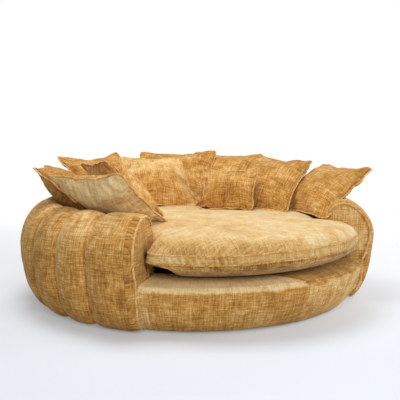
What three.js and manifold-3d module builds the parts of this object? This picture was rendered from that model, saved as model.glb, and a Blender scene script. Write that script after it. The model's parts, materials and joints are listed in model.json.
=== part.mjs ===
// Round cuddle chair: a drum-shaped seat held by one channelled arm and back that wraps it,
// with a round seat cushion whose front corners pass the arm ends, and loose scatter cushions.
// Millimetres, +Z up, front towards -Y, origin on the floor under the middle of the seat.
import * as THREE from 'three';
import { mergeVertices } from 'three/addons/utils/BufferGeometryUtils.js';
import Module from 'manifold-3d';

const wasm = await Module();
wasm.setup();

// Overall form
const chairRadius = 900;
const armHeight = 500;
const armWidth = 245;
const openingHalfTurn = 47.5;
const channelCount = 19;
const channelDepth = 30;
const hemClearance = 12;
const padThickness = 25;
const liningThickness = 15;
const fit = 0.3;
const softPlay = 1.2;

// Timber frame
const boardThickness = 18;
const footHeight = 40;
const footTopRadius = 32;
const footTipRadius = 25;
const footInset = 58;
const footCount = 6;
const baseRingPlay = 2.8;
const baseRingWidth = 148;
const railHeight = 90;
const railWidth = 45;
const deckRingSetback = 19;
const deckRingWidth = 135;
const postWidth = 45;
const postDepth = 36;
const postCount = 8;
const postEndTurn = 9;
const frontPostTurn = 24;
const panelSetback = 4;
const panelThickness = 3;
const panelPlay = 1.5;
const panelEndTurn = 2;
const frameDrop = 135;

// Seat deck
const strapWidth = 60;
const strapThickness = 1.6;
const strapPitch = 200;
const strapsEachWay = 4;
const strapSetback = 15;
const deckFoamThickness = 57.2;
const clothThickness = 1.5;

// Front rail
const ledgeDrop = 30;
const ledgeReach = 96;
const frontHemReach = 8;
const frontPadThickness = 14;

// Arm end facings
const facingRim = 7;
const facingCrown = 19;
const facingFade = 46;
const facingSlopeShare = 0.4;
const facingSlopeDepthShare = 0.72;

// Seat cushion
const cushionFrontReach = 97;
const cushionSetForward = 115;
const cushionBackPlay = 9;
const cushionUnderRise = 61.7;
const cushionBorderHeight = 60;
const cushionCrownRise = 80;
const cushionCrownRun = 300;
const cushionCoverThickness = 6;
const zipHalfTurn = 18;
const zipHeight = 26;
const wingPlay = 14;

// Scatter cushions
const largeCushionWidth = 450;
const largeCushionThickness = 125;
const smallCushionWidth = 300;
const smallCushionHeight = 245;
const smallCushionThickness = 95;
const sideDrawShare = 0.07;
const crownPower = 0.45;

// How finely the round pieces are divided
const ringSegments = 64;
const topRailSteps = 60;
const frontSteps = 20;
const footSegments = 24;
const zipSteps = 12;
const backStations = 12;
const cushionCells = 8;
const weldReach = fit / 10;

const deg = THREE.MathUtils.degToRad;
const innerWallRadius = chairRadius - armWidth;

// Outer line of the arm section, as shares of its width and height, from the hem over the top
const armLineShares = [
  [0.46, 0], [0.61, 0.08], [0.8, 0.2], [0.94, 0.36], [1, 0.54], [0.965, 0.7],
  [0.84, 0.85], [0.64, 0.96], [0.45, 1], [0.25, 0.984], [0.09, 0.91],
];
const armLine = armLineShares.map(([across, up]) => (
  new THREE.Vector2(innerWallRadius + armWidth * across, Math.max(armHeight * up, hemClearance))
));
const shoulder = armLine.at(-1);
const liningBendShare = 0.78;
const liningBendHeight = armHeight * liningBendShare;
const coverDepth = padThickness + channelDepth / 2;
const coverBackStations = [0, 2, 4, 7, armLine.length - 1];
const coverBackLine = coverBackStations.map((i) => offsetLine(armLine, coverDepth)[i]);

// The frame, from the feet up and from the arm's cover inwards
const baseRingBottom = footHeight + fit;
const baseRingTop = baseRingBottom + boardThickness;
const railBottom = baseRingTop + fit;
const railTop = railBottom + railHeight;
const deckRingTop = railTop + fit + boardThickness;
const deckRest = deckRingTop + fit;
const frameTop = armHeight - frameDrop;
const baseRingOuterRadius = lineAbove(coverBackLine, baseRingBottom)[0].x - baseRingPlay;
const baseRingInnerRadius = baseRingOuterRadius - baseRingWidth;
const footCircleRadius = baseRingOuterRadius - footInset;
const outerPanelRadius = baseRingOuterRadius - panelSetback;
const postOuterRadius = outerPanelRadius - panelThickness - panelPlay;
const postInnerRadius = postOuterRadius - postDepth;
const innerPanelRadius = postInnerRadius - panelPlay - panelThickness;
const deckRingOuterRadius = innerPanelRadius - deckRingSetback;
const deckRingInnerRadius = deckRingOuterRadius - deckRingWidth;

// The deck, the front rail and the seat cushion that stand on it
const strapEndRadius = innerWallRadius - strapSetback;
const strapsTop = deckRest + 2 * (strapThickness + fit);
const deckFoamTop = strapsTop + deckFoamThickness;
const deckHeight = deckFoamTop + fit + clothThickness;
const deckFoamRadius = innerWallRadius - 2 * panelPlay;
const ledgeHeight = deckHeight - ledgeDrop;
const frontHemRadius = baseRingOuterRadius + frontHemReach;
const ledgeRadius = frontHemRadius + ledgeReach;
const cushionFrontRadius = innerWallRadius + cushionFrontReach;
const cushionBackRadius = innerWallRadius - cushionBackPlay;
const cushionUnderside = deckHeight + fit;
const lowerSeamHeight = cushionUnderside + cushionUnderRise;
const upperSeamHeight = lowerSeamHeight + cushionBorderHeight;
const cushionTop = upperSeamHeight + cushionCrownRise;

const wood = new THREE.MeshStandardMaterial({ color: 0xc9a878, roughness: 0.75, metalness: 0 });
const board = new THREE.MeshStandardMaterial({ color: 0x9b7a52, roughness: 0.85, metalness: 0 });
const foam = new THREE.MeshStandardMaterial({ color: 0xf0e6c8, roughness: 0.95, metalness: 0 });
const webbing = new THREE.MeshStandardMaterial({ color: 0x2e2a26, roughness: 0.9, metalness: 0 });
const darkCloth = new THREE.MeshStandardMaterial({ color: 0x24221f, roughness: 0.95, metalness: 0 });
const footFinish = new THREE.MeshStandardMaterial({ color: 0x3a2417, roughness: 0.5, metalness: 0 });
const chenille = new THREE.MeshStandardMaterial({ color: 0xb9873f, roughness: 0.95, metalness: 0 });
const chenillePale = new THREE.MeshStandardMaterial({ color: 0xd8b676, roughness: 0.95, metalness: 0 });
const zipFinish = new THREE.MeshStandardMaterial({ color: 0x8a6a35, roughness: 0.6, metalness: 0 });

const chair = new THREE.Group();

// A named mesh in the chair
function addPiece(name, geometry, material) {
  const mesh = new THREE.Mesh(geometry, material);
  mesh.name = name;
  chair.add(mesh);
  return mesh;
}

// A closed geometry as a solid that can be joined and cut
function solidOf(geometry) {
  const plain = geometry.clone();
  plain.deleteAttribute('normal');
  plain.deleteAttribute('uv');
  const merged = mergeVertices(plain);
  const vertProperties = new Float32Array(merged.attributes.position.array);
  const triVerts = new Uint32Array(merged.index.array);
  return new wasm.Manifold(new wasm.Mesh({ numProp: 3, vertProperties, triVerts }));
}

// The largest body of a cut solid, back as a geometry
function geometryOf(solid) {
  const bodies = solid.decompose().sort((a, b) => b.volume() - a.volume());
  const mesh = bodies[0].getMesh();
  const geometry = new THREE.BufferGeometry();
  geometry.setAttribute('position', new THREE.BufferAttribute(new Float32Array(mesh.vertProperties), 3));
  geometry.setIndex(new THREE.BufferAttribute(new Uint32Array(mesh.triVerts), 1));
  return geometry;
}

// Unit vector in plan, turned from the front towards +X
function planDirection(turn) {
  return new THREE.Vector2(Math.sin(deg(turn)), -Math.cos(deg(turn)));
}

// A point given by its radius and height, carried to a turn
function carried(point, turn) {
  const direction = planDirection(turn);
  return new THREE.Vector3(direction.x * point.x, direction.y * point.x, point.y);
}

// Signed volume of a triangle list, six times over
function signedVolume(points, triangles) {
  const cross = new THREE.Vector3();
  const signed = ([a, b, c]) => points[a].dot(cross.crossVectors(points[b], points[c]));
  return triangles.reduce((sum, triangle) => sum + signed(triangle), 0);
}

// A closed body through a row of outlines, capped at its two ends
function lofted(outlines, toSpace) {
  const count = outlines[0].length;
  const points = outlines.flatMap((outline, i) => outline.map((point) => toSpace(point, i)));
  const triangles = [];
  for (let i = 0; i + 1 < outlines.length; i += 1) {
    for (let j = 0; j < count; j += 1) {
      const k = (j + 1) % count;
      const here = i * count;
      const next = here + count;
      triangles.push([here + j, here + k, next + k], [here + j, next + k, next + j]);
    }
  }
  const last = (outlines.length - 1) * count;
  const startCap = THREE.ShapeUtils.triangulateShape(outlines[0], []);
  const endCap = THREE.ShapeUtils.triangulateShape(outlines.at(-1), []);
  triangles.push(...startCap.map(([a, b, c]) => [a, c, b]));
  triangles.push(...endCap.map(([a, b, c]) => [last + a, last + b, last + c]));
  const outward = signedVolume(points, triangles) > 0;
  const geometry = new THREE.BufferGeometry().setFromPoints(points);
  geometry.setIndex(triangles.flatMap(([a, b, c]) => (outward ? [a, b, c] : [a, c, b])));
  return geometry;
}

// An outline listed against the clock
function counterClockwise(outline) {
  return THREE.ShapeUtils.area(outline) < 0 ? outline.slice().reverse() : outline;
}

// Even turns from one to another
function evenTurns(startTurn, endTurn, steps) {
  return Array.from({ length: steps + 1 }, (_, i) => THREE.MathUtils.lerp(startTurn, endTurn, i / steps));
}

// A section in radius and height carried round the upright axis
function swept(section, startTurn, endTurn, steps) {
  const outline = counterClockwise(section);
  const turns = evenTurns(startTurn, endTurn, steps);
  return lofted(turns.map(() => outline), (point, i) => carried(point, turns[i]));
}

// A board, panel or rail of rectangular section, bent or cut to a ring sector
function ringSector(innerRadius, outerRadius, bottom, top, startTurn, endTurn, steps) {
  const corners = [[innerRadius, bottom], [outerRadius, bottom], [outerRadius, top], [innerRadius, top]];
  return swept(corners.map(([x, y]) => new THREE.Vector2(x, y)), startTurn, endTurn, steps);
}

// A flat plate from a shape drawn in plan
function plate(shape, bottom, thickness, curveSegments) {
  const geometry = new THREE.ExtrudeGeometry(shape, { depth: thickness, bevelEnabled: false, curveSegments });
  geometry.translate(0, 0, bottom);
  return geometry;
}

// An open line moved sideways, mitred at its corners; its two ends move level
function offsetLine(line, distance) {
  const normalTo = (from, to) => {
    const along = to.clone().sub(from).normalize();
    return new THREE.Vector2(-along.y, along.x);
  };
  return line.map((point, i) => {
    if (i === 0) return new THREE.Vector2(point.x - distance, point.y);
    if (i === line.length - 1) return new THREE.Vector2(point.x + distance, point.y);
    const before = normalTo(line[i - 1], point);
    const after = normalTo(point, line[i + 1]);
    const mitre = before.clone().add(after).divideScalar(1 + before.dot(after));
    return point.clone().addScaledVector(mitre, distance);
  });
}

// The part of a rising line above a height, cut level there
function lineAbove(line, height) {
  const i = line.findIndex((point) => point.y > height);
  const share = (height - line[i - 1].y) / (line[i].y - line[i - 1].y);
  const start = new THREE.Vector2(THREE.MathUtils.lerp(line[i - 1].x, line[i].x, share), height);
  return [start, ...line.slice(i)];
}

const wrapGapTurn = THREE.MathUtils.radToDeg(fit / innerWallRadius);
const wrapStart = openingHalfTurn + wrapGapTurn;
const wrapEnd = 360 - wrapStart;
const liningSteps = 2 * channelCount;

// How deep a sewn channel is at each point of the arm line, and where one channel is cut across
const channelReachShares = [0.35, 0.7, 1, 1, 1, 1, 1, 1, 1, 0.75, 0];
const channelStationShares = [0, 0.16, 0.5, 0.84];

// Channelled outer cover, from the hem to the inner shoulder
function outerCover() {
  const channelTurn = (wrapEnd - wrapStart) / channelCount;
  const stations = [];
  for (let channel = 0; channel < channelCount; channel += 1) {
    for (const share of channelStationShares) {
      stations.push({ turn: wrapStart + (channel + share) * channelTurn, valley: (2 * share - 1) ** 2 });
    }
  }
  stations.push({ turn: wrapEnd, valley: 1 });
  const middle = new THREE.Vector2(innerWallRadius + armWidth / 2, armHeight / 2);
  const outlines = stations.map(({ valley }) => {
    const outside = armLine.map((point, i) => {
      const inward = middle.clone().sub(point).normalize();
      const sunk = point.clone().addScaledVector(inward, channelDepth * valley * channelReachShares[i]);
      return i === 0 ? new THREE.Vector2(sunk.x, hemClearance) : sunk;
    });
    return counterClockwise([...outside, ...coverBackLine.slice().reverse()]);
  });
  return lofted(outlines, (point, i) => carried(point, stations[i].turn));
}

// Smooth inside lining, from the shoulder down to the deck
const liningFace = [
  new THREE.Vector2(shoulder.x, shoulder.y - fit),
  new THREE.Vector2(innerWallRadius, liningBendHeight),
  new THREE.Vector2(innerWallRadius, deckRest),
];
const liningBack = liningFace.map((point) => new THREE.Vector2(point.x + liningThickness, point.y));

function innerLining() {
  return swept([...liningFace, ...liningBack.slice().reverse()], wrapStart, wrapEnd, liningSteps);
}

// Foam that fills the arm and back round the frame, open underneath
function armFoam() {
  const roundCover = offsetLine(coverBackLine, softPlay);
  const outside = lineAbove(roundCover.slice(0, -1), railBottom);
  const underShoulder = coverBackLine.at(-1);
  const frameSideIn = innerPanelRadius - 2 * panelPlay;
  const frameSideOut = baseRingOuterRadius;
  const frameCeiling = frameTop + boardThickness + 2 * panelPlay;
  const section = [
    new THREE.Vector2(frameSideOut, railBottom),
    ...outside,
    new THREE.Vector2(underShoulder.x, underShoulder.y - softPlay),
    new THREE.Vector2(liningBack[0].x + fit, liningBack[0].y - fit),
    new THREE.Vector2(liningBack[1].x + fit, liningBack[1].y),
    new THREE.Vector2(liningBack[2].x + fit, liningBack[2].y),
    new THREE.Vector2(frameSideIn, deckRest),
    new THREE.Vector2(frameSideIn, frameCeiling),
    new THREE.Vector2(frameSideOut, frameCeiling),
  ];
  return swept(section, wrapStart, wrapEnd, liningSteps);
}

// Outline of the whole arm section, grown or drawn in about its middle
function armOutline(growth) {
  const frameClear = baseRingOuterRadius + panelPlay;
  const underside = [[innerWallRadius, deckRest], [frameClear, deckRest], [frameClear, hemClearance]];
  const outline = [...armLine, liningFace[1], ...underside.map(([x, y]) => new THREE.Vector2(x, y))];
  const middle = new THREE.Vector2(innerWallRadius + armWidth / 2, armHeight / 2);
  const size = new THREE.Vector2(armWidth, armHeight);
  return outline.map((point) => new THREE.Vector2(
    middle.x + (point.x - middle.x) * (1 + 2 * growth / size.x),
    middle.y + (point.y - middle.y) * (1 + 2 * growth / size.y),
  ));
}

// Crowned facing that closes one arm end; side is 1 for the right arm and -1 for the left
function armFacing(side, growth) {
  const levels = [
    { inset: 0, depth: -growth },
    { inset: 0, depth: facingRim + growth },
    { inset: facingFade * facingSlopeShare, depth: facingRim + facingCrown * facingSlopeDepthShare + growth },
    { inset: facingFade, depth: facingRim + facingCrown + growth },
  ];
  const outlines = levels.map(({ inset }) => counterClockwise(armOutline(growth - inset)));
  const away = planDirection(openingHalfTurn * side);
  return lofted(outlines, (point, i) => new THREE.Vector3(
    away.x * point.x + away.y * levels[i].depth * side,
    away.y * point.x - away.x * levels[i].depth * side,
    point.y,
  ));
}

// Line of the front rail, from its hem up the drum face and back along the ledge to the deck
const frontFaceShares = [[0, 0], [0.4, 0.24], [0.72, 0.5], [0.93, 0.74], [1, 0.88], [0.95, 0.97], [0.82, 1]];
const frontLine = frontFaceShares.map(([out, up]) => new THREE.Vector2(
  frontHemRadius + (ledgeRadius - frontHemRadius) * out,
  Math.max(ledgeHeight * up, hemClearance),
));
frontLine.push(new THREE.Vector2(innerWallRadius, deckHeight));
frontLine.push(new THREE.Vector2(innerWallRadius, deckRest));
const facingFrontTurn = THREE.MathUtils.radToDeg((facingRim + facingCrown) / innerWallRadius);
const frontEndTurn = openingHalfTurn - facingFrontTurn / 2;

// A swept piece of the front rail, cut to the two crowned facings
function fittedToFacings(section) {
  const whole = solidOf(swept(section, -frontEndTurn, frontEndTurn, frontSteps));
  const facings = solidOf(armFacing(1, fit)).add(solidOf(armFacing(-1, fit)));
  return geometryOf(whole.subtract(facings));
}

function frontRailCover() {
  return fittedToFacings([...frontLine, ...offsetLine(frontLine, frontPadThickness).reverse()]);
}

function frontRailFoam() {
  const inside = offsetLine(frontLine, frontPadThickness + fit);
  const panelFace = outerPanelRadius + panelPlay;
  return fittedToFacings([
    new THREE.Vector2(panelFace, railBottom),
    ...lineAbove(inside, railBottom),
    new THREE.Vector2(panelFace, deckRest),
  ]);
}

// Timber frame

function baseRing() {
  const ring = new THREE.Shape().absarc(0, 0, baseRingOuterRadius, 0, 2 * Math.PI);
  ring.holes.push(new THREE.Path().absarc(0, 0, baseRingInnerRadius, 0, 2 * Math.PI));
  return plate(ring, baseRingBottom, boardThickness, ringSegments);
}

// The deck board reaches further out in front, to the front panel
function deckRing() {
  const frontHalf = deg(openingHalfTurn - 2 * panelEndTurn);
  const down = -Math.PI / 2;
  const frontRadius = outerPanelRadius - panelThickness - panelPlay;
  const ring = new THREE.Shape();
  ring.absarc(0, 0, frontRadius, down - frontHalf, down + frontHalf);
  ring.absarc(0, 0, deckRingOuterRadius, down + frontHalf, down - frontHalf + 2 * Math.PI);
  ring.closePath();
  ring.holes.push(new THREE.Path().absarc(0, 0, deckRingInnerRadius, 0, 2 * Math.PI));
  return plate(ring, railTop + fit, boardThickness, ringSegments);
}

// A deep rail across the drum, half-lapped with the other at the middle
function crossRail(alongX, notchFromTop) {
  const length = 2 * (innerPanelRadius - 2 * panelPlay);
  const size = alongX ? [length, railWidth, railHeight] : [railWidth, length, railHeight];
  const rail = new THREE.BoxGeometry(...size);
  rail.translate(0, 0, railBottom + railHeight / 2);
  const lapWidth = railWidth + 2 * fit;
  const lap = new THREE.BoxGeometry(lapWidth, lapWidth, railHeight);
  const lapShift = (railHeight - fit) / 2;
  lap.translate(0, 0, railBottom + railHeight / 2 + (notchFromTop ? lapShift : -lapShift));
  return geometryOf(solidOf(rail).subtract(solidOf(lap)));
}

function post(turn, bottom, top) {
  const geometry = new THREE.BoxGeometry(postWidth, postDepth, top - bottom);
  geometry.translate(0, -(postOuterRadius - postDepth / 2 - panelPlay), (bottom + top) / 2);
  geometry.rotateZ(deg(turn));
  return geometry;
}

function bentPanel(outerRadius, top, startTurn, endTurn) {
  const steps = Math.round(Math.abs(endTurn - startTurn) / panelEndTurn / 2);
  return ringSector(outerRadius - panelThickness, outerRadius, railBottom, top, startTurn, endTurn, steps);
}

function addFrame() {
  const start = openingHalfTurn + panelEndTurn;
  const end = 360 - start;
  const firstPostTurn = openingHalfTurn + postEndTurn;
  const frontPanelTurn = openingHalfTurn - facingFrontTurn - panelEndTurn / 2;
  addPiece('base_ring', baseRing(), board);
  addPiece('cross_rail_side_to_side', crossRail(true, true), wood);
  addPiece('cross_rail_front_to_back', crossRail(false, false), wood);
  addPiece('deck_ring', deckRing(), board);
  evenTurns(firstPostTurn, 360 - firstPostTurn, postCount - 1).forEach((turn, i) => {
    addPiece(`back_post_${i + 1}`, post(turn, railBottom, frameTop), wood);
  });
  addPiece('front_post_left', post(-frontPostTurn, railBottom, railTop), wood);
  addPiece('front_post_right', post(frontPostTurn, railBottom, railTop), wood);
  const railSize = [innerPanelRadius, outerPanelRadius, frameTop + fit, frameTop + fit + boardThickness];
  addPiece('top_rail', ringSector(...railSize, start, end, topRailSteps), board);
  addPiece('inner_back_panel', bentPanel(innerPanelRadius + panelThickness, frameTop, start, end), board);
  addPiece('outer_back_panel', bentPanel(outerPanelRadius, frameTop, start, end), board);
  addPiece('front_panel', bentPanel(outerPanelRadius, deckRingTop, -frontPanelTurn, frontPanelTurn), board);
}

// Webbing across the deck opening, one layer over the other
function addStraps() {
  for (let layer = 0; layer < 2; layer += 1) {
    for (let i = 0; i < strapsEachWay; i += 1) {
      const aside = (i - (strapsEachWay - 1) / 2) * strapPitch;
      const reach = Math.abs(aside) + strapWidth / 2;
      const length = 2 * Math.sqrt(strapEndRadius ** 2 - reach ** 2);
      const size = layer === 0 ? [length, strapWidth, strapThickness] : [strapWidth, length, strapThickness];
      const strap = new THREE.BoxGeometry(...size);
      const height = deckRest + strapThickness / 2 + layer * (strapThickness + fit);
      strap.translate(layer === 0 ? 0 : aside, layer === 0 ? aside : 0, height);
      addPiece(`webbing_${layer === 0 ? 'across' : 'along'}_${i + 1}`, strap, webbing);
    }
  }
}

// A disc lying level
function disc(radius, bottom, top) {
  const geometry = new THREE.CylinderGeometry(radius, radius, top - bottom, ringSegments);
  geometry.rotateX(Math.PI / 2);
  geometry.translate(0, 0, (bottom + top) / 2);
  return geometry;
}

function addDeck() {
  addPiece('deck_foam', disc(deckFoamRadius, strapsTop, deckFoamTop), foam);
  addPiece('deck_cloth', disc(deckFoamRadius, deckFoamTop + fit, deckHeight), darkCloth);
}

// Feet under the base ring and one under the crossing of the rails
function foot(x, y, height) {
  const geometry = new THREE.CylinderGeometry(footTopRadius, footTipRadius, height, footSegments);
  geometry.rotateX(Math.PI / 2);
  geometry.translate(x, y, height / 2);
  return geometry;
}

const footTurns = Array.from({ length: footCount }, (_, i) => (i + 1 / 2) * 360 / footCount);

function addFeet() {
  footTurns.forEach((turn, i) => {
    const place = planDirection(turn).multiplyScalar(footCircleRadius);
    addPiece(`foot_${i + 1}`, foot(place.x, place.y, footHeight), footFinish);
  });
  addPiece('foot_centre', foot(0, 0, railBottom - fit), footFinish);
}

// Thin cloth that closes the underside between the outer feet, holed for the centre foot
function dustCover() {
  const sheetRadius = footCircleRadius - footTopRadius - softPlay;
  const sheet = new THREE.Shape().absarc(0, 0, sheetRadius, 0, 2 * Math.PI);
  sheet.holes.push(new THREE.Path().absarc(0, 0, footTopRadius + softPlay, 0, 2 * Math.PI));
  return plate(sheet, footHeight - clothThickness, clothThickness, ringSegments);
}

// Plan outline of the seat cushion: a wide front that passes the arm ends and a round back inside them
const wingShares = [
  [0, 1], [0.15, 1], [0.3, 1], [0.45, 1], [0.6, 1], [0.73, 1], [0.84, 1], [0.92, 0.97],
  [0.97, 0.86], [0.995, 0.66], [1.005, 0.4], [1.015, 0.15], [1.05, 0],
];
const wingTurn = openingHalfTurn - facingFrontTurn - THREE.MathUtils.radToDeg(wingPlay / innerWallRadius);

function cushionOutline(inset, forwardShare) {
  const back = cushionBackRadius - inset;
  const turned = wingTurn - THREE.MathUtils.radToDeg(inset / innerWallRadius);
  const half = wingShares.map(([along, out]) => {
    const turn = turned * along;
    const side = cushionSetForward * Math.sin(deg(turn));
    const ahead = cushionSetForward * Math.cos(deg(turn));
    const front = ahead + Math.sqrt(cushionFrontRadius ** 2 - side ** 2) - inset;
    return { turn, reach: back + (front - back) * out * forwardShare };
  });
  const lastTurn = half.at(-1).turn;
  for (let i = 1; i <= backStations; i += 1) {
    half.push({ turn: THREE.MathUtils.lerp(lastTurn, 180, i / backStations), reach: back });
  }
  const mirrored = half.slice(1, -1).reverse().map(({ turn, reach }) => ({ turn: -turn, reach }));
  return [...half, ...mirrored].map(({ turn, reach }) => planDirection(turn).multiplyScalar(reach));
}

// Levels of the cushion below, between and above its two seams: inset and height shares
const underLevelShares = [[0.3, 0], [0.14, 0.12], [0.045, 0.5]];
const borderBulgeShare = 0.015;
const borderLevelShares = [[0, 0], [-borderBulgeShare, 0.5], [0, 1]];
const crownLevelShares = [[0.06, 0.42], [0.2, 0.74], [0.46, 0.93], [0.9, 1]];

function cushionForm(skin) {
  const levels = [
    ...underLevelShares.map((share) => [share, cushionUnderside + skin, lowerSeamHeight]),
    ...borderLevelShares.map((share) => [share, lowerSeamHeight, upperSeamHeight]),
    ...crownLevelShares.map((share) => [share, upperSeamHeight, cushionTop - skin]),
  ];
  const outlines = levels.map(([[inset]]) => {
    const forwardShare = 1 - Math.max(inset, 0) / 2;
    return counterClockwise(cushionOutline(inset * cushionCrownRun + skin, forwardShare));
  });
  return lofted(outlines, (point, i) => {
    const [[, up], bottom, top] = levels[i];
    return new THREE.Vector3(point.x, point.y, THREE.MathUtils.lerp(bottom, top, up));
  });
}

// A band round the back of the border, for the zip and for the slot it lies in
function backBand(reach, play) {
  const middle = (lowerSeamHeight + upperSeamHeight) / 2;
  const radius = cushionBackRadius + borderBulgeShare * cushionCrownRun - cushionCoverThickness / 2;
  const turn = zipHalfTurn + THREE.MathUtils.radToDeg(play / cushionBackRadius);
  const half = zipHeight / 2 + play;
  const size = [radius - reach, radius + reach, middle - half, middle + half];
  return ringSector(...size, 180 - turn, 180 + turn, zipSteps);
}

function addSeatCushion() {
  const shell = solidOf(cushionForm(0)).subtract(solidOf(cushionForm(cushionCoverThickness)));
  const slot = solidOf(backBand(cushionCoverThickness, fit));
  addPiece('seat_cushion_cover', geometryOf(shell.subtract(slot)), chenillePale);
  addPiece('seat_cushion_foam', cushionForm(cushionCoverThickness + fit), foam);
  addPiece('seat_cushion_zip', backBand(clothThickness, 0), zipFinish);
}

// A scatter cushion: crowned on both faces, with sides drawn in between its corners
function scatterForm(width, height, thickness) {
  const rim = (share) => 1 - sideDrawShare * (1 - share ** 2);
  const shareAt = (i) => Math.sin((i / cushionCells - 1 / 2) * Math.PI);
  const shares = Array.from({ length: cushionCells + 1 }, (_, i) => shareAt(i));
  const geometry = new THREE.BufferGeometry();
  const points = [];
  const triangles = [];
  const face = (side) => shares.map((up) => shares.map((across) => {
    const swell = Math.max((1 - across ** 2) * (1 - up ** 2), 0) ** crownPower;
    const rise = side * swell * thickness / 2;
    points.push(new THREE.Vector3(across * width / 2 * rim(up), up * height / 2 * rim(across), rise));
    return points.length - 1;
  }));
  for (const side of [1, -1]) {
    const grid = face(side);
    for (let i = 0; i < cushionCells; i += 1) {
      for (let j = 0; j < cushionCells; j += 1) {
        const corners = [grid[i][j], grid[i][j + 1], grid[i + 1][j + 1], grid[i + 1][j]];
        const [a, b, c, d] = side > 0 ? corners : corners.reverse();
        triangles.push(a, b, c, a, c, d);
      }
    }
  }
  geometry.setFromPoints(points);
  geometry.setIndex(triangles);
  return mergeVertices(geometry, weldReach);
}

// Where each scatter cushion stands, the deepest in the pile first: turn from the front, share of the
// way out to the inside wall, rise of its middle over the seat as a share of its own height, and the
// way it faces, its lean and its roll in degrees
const scatterPlaces = [
  { name: 'rear_middle', turn: 164.7, outShare: 0.912, upShare: 0.314, facing: -39, lean: 48.9, roll: 2.7 },
  { name: 'rear_right', turn: 142.2, outShare: 1.034, upShare: 0.306, facing: -55.5, lean: 52.7, roll: -3 },
  { name: 'rear_left', turn: -154, outShare: 0.947, upShare: 0.307, facing: 19.3, lean: 51.7, roll: 2.7 },
  { name: 'left_side', turn: -108.8, outShare: 1.051, upShare: 0.251, facing: 61.7, lean: 59.1, roll: -1.9 },
  { name: 'right_arm', turn: 67.5, outShare: 1.026, upShare: 0.253, facing: -88.3, lean: 58.2, roll: 0 },
  { name: 'right_inner', turn: 87.6, outShare: 0.664, upShare: 0.295, facing: -69.6, lean: 53.6, roll: -1.3 },
  { name: 'middle', turn: -175, outShare: 0.629, upShare: 0.298, facing: -4.1, lean: 55.2, roll: -5.5 },
  { name: 'left_arm', turn: -70.5, outShare: 0.909, upShare: 0.252, facing: 116, lean: 58.9, roll: 1.1 },
  { name: 'left_inner', turn: -98.8, outShare: 0.625, upShare: 0.316, facing: 85.8, lean: 50.4, roll: -0.6 },
  {
    name: 'small_front', small: true, turn: 83.6, outShare: 0.283, upShare: 0.43, facing: -48.1, lean: 33.5,
    roll: 3.4,
  },
];

function placedScatter(place, growth) {
  const width = place.small ? smallCushionWidth : largeCushionWidth;
  const height = place.small ? smallCushionHeight : largeCushionWidth;
  const thickness = place.small ? smallCushionThickness : largeCushionThickness;
  const geometry = scatterForm(width + 2 * growth, height + 2 * growth, thickness + 2 * growth);
  geometry.rotateZ(deg(place.roll));
  geometry.rotateX(Math.PI / 2 - deg(place.lean));
  geometry.rotateZ(deg(place.facing));
  const at = planDirection(place.turn).multiplyScalar(innerWallRadius * place.outShare);
  geometry.translate(at.x, at.y, cushionTop + height * place.upShare);
  return geometry;
}

// Scatter cushions, each pressed in where the seat, the arm or an earlier cushion stands
function addScatterCushions() {
  const arm = swept(armOutline(fit), wrapStart, wrapEnd, liningSteps);
  let taken = solidOf(cushionForm(-fit)).add(solidOf(arm));
  taken = taken.add(solidOf(armFacing(1, fit))).add(solidOf(armFacing(-1, fit)));
  for (const place of scatterPlaces) {
    const pressed = solidOf(placedScatter(place, 0)).subtract(taken);
    addPiece(`cushion_${place.name}`, geometryOf(pressed), chenille);
    taken = taken.add(solidOf(placedScatter(place, fit)));
  }
}

addFrame();
addFeet();
addPiece('dust_cover', dustCover(), darkCloth);
addStraps();
addDeck();
addPiece('arm_foam', armFoam(), foam);
addPiece('inner_lining', innerLining(), chenille);
addPiece('outer_cover', outerCover(), chenille);
addPiece('facing_right', armFacing(1, 0), chenille);
addPiece('facing_left', armFacing(-1, 0), chenille);
addPiece('front_rail_foam', frontRailFoam(), foam);
addPiece('front_rail_cover', frontRailCover(), chenille);
addSeatCushion();
addScatterCushions();

export default chair;
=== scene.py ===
"""Looks of the round cuddle chair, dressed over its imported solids."""

import json
import logging
import math
from collections.abc import Callable, Sequence
from dataclasses import dataclass, field
from enum import StrEnum

import bmesh
import bpy
from mathutils import Matrix, Vector, noise
from mathutils.bvhtree import BVHTree


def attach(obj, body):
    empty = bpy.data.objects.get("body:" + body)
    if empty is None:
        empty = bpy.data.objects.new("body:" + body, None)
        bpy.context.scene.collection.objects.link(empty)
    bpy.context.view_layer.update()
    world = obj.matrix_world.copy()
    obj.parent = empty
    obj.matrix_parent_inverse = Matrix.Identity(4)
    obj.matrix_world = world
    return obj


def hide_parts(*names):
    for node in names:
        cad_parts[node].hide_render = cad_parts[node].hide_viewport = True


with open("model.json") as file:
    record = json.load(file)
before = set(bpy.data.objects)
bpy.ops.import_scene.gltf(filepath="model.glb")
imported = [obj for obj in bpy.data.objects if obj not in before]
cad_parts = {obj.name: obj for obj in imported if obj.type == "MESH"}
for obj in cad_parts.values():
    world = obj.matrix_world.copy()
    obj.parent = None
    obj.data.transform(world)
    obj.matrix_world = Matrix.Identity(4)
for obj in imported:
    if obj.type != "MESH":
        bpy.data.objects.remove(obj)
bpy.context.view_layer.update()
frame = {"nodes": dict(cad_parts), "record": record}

log = logging.getLogger("cuddle_chair")

Colour = tuple[float, float, float]
Stop = tuple[float, Colour]
CLOTH_UV = "cloth"
# Per-point tone attribute: a random tone of the nap, with painted light and shade added to it.
NAP_AND_SHADING = "nap_and_shading"
LINE_STEPS = 24
# The phase of a wave texture grows by this much for each unit of its scale.
WAVE_RATE = 20.0


class Body(StrEnum):
    """Names of the bodies that pieces ride on."""

    CHAIR = "chair"
    SEAT = "seat_cushion"


class Slot(StrEnum):
    """Material slots of the record that pieces take their finish from."""

    CHENILLE = "chenille"
    CHENILLE_PALE = "chenille_pale"
    TIMBER = "timber"
    BOARD = "board"
    FOAM = "foam"
    WEBBING = "webbing"
    DARK_CLOTH = "dark_cloth"
    FOOT = "foot_finish"
    ZIP = "zip"


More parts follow.
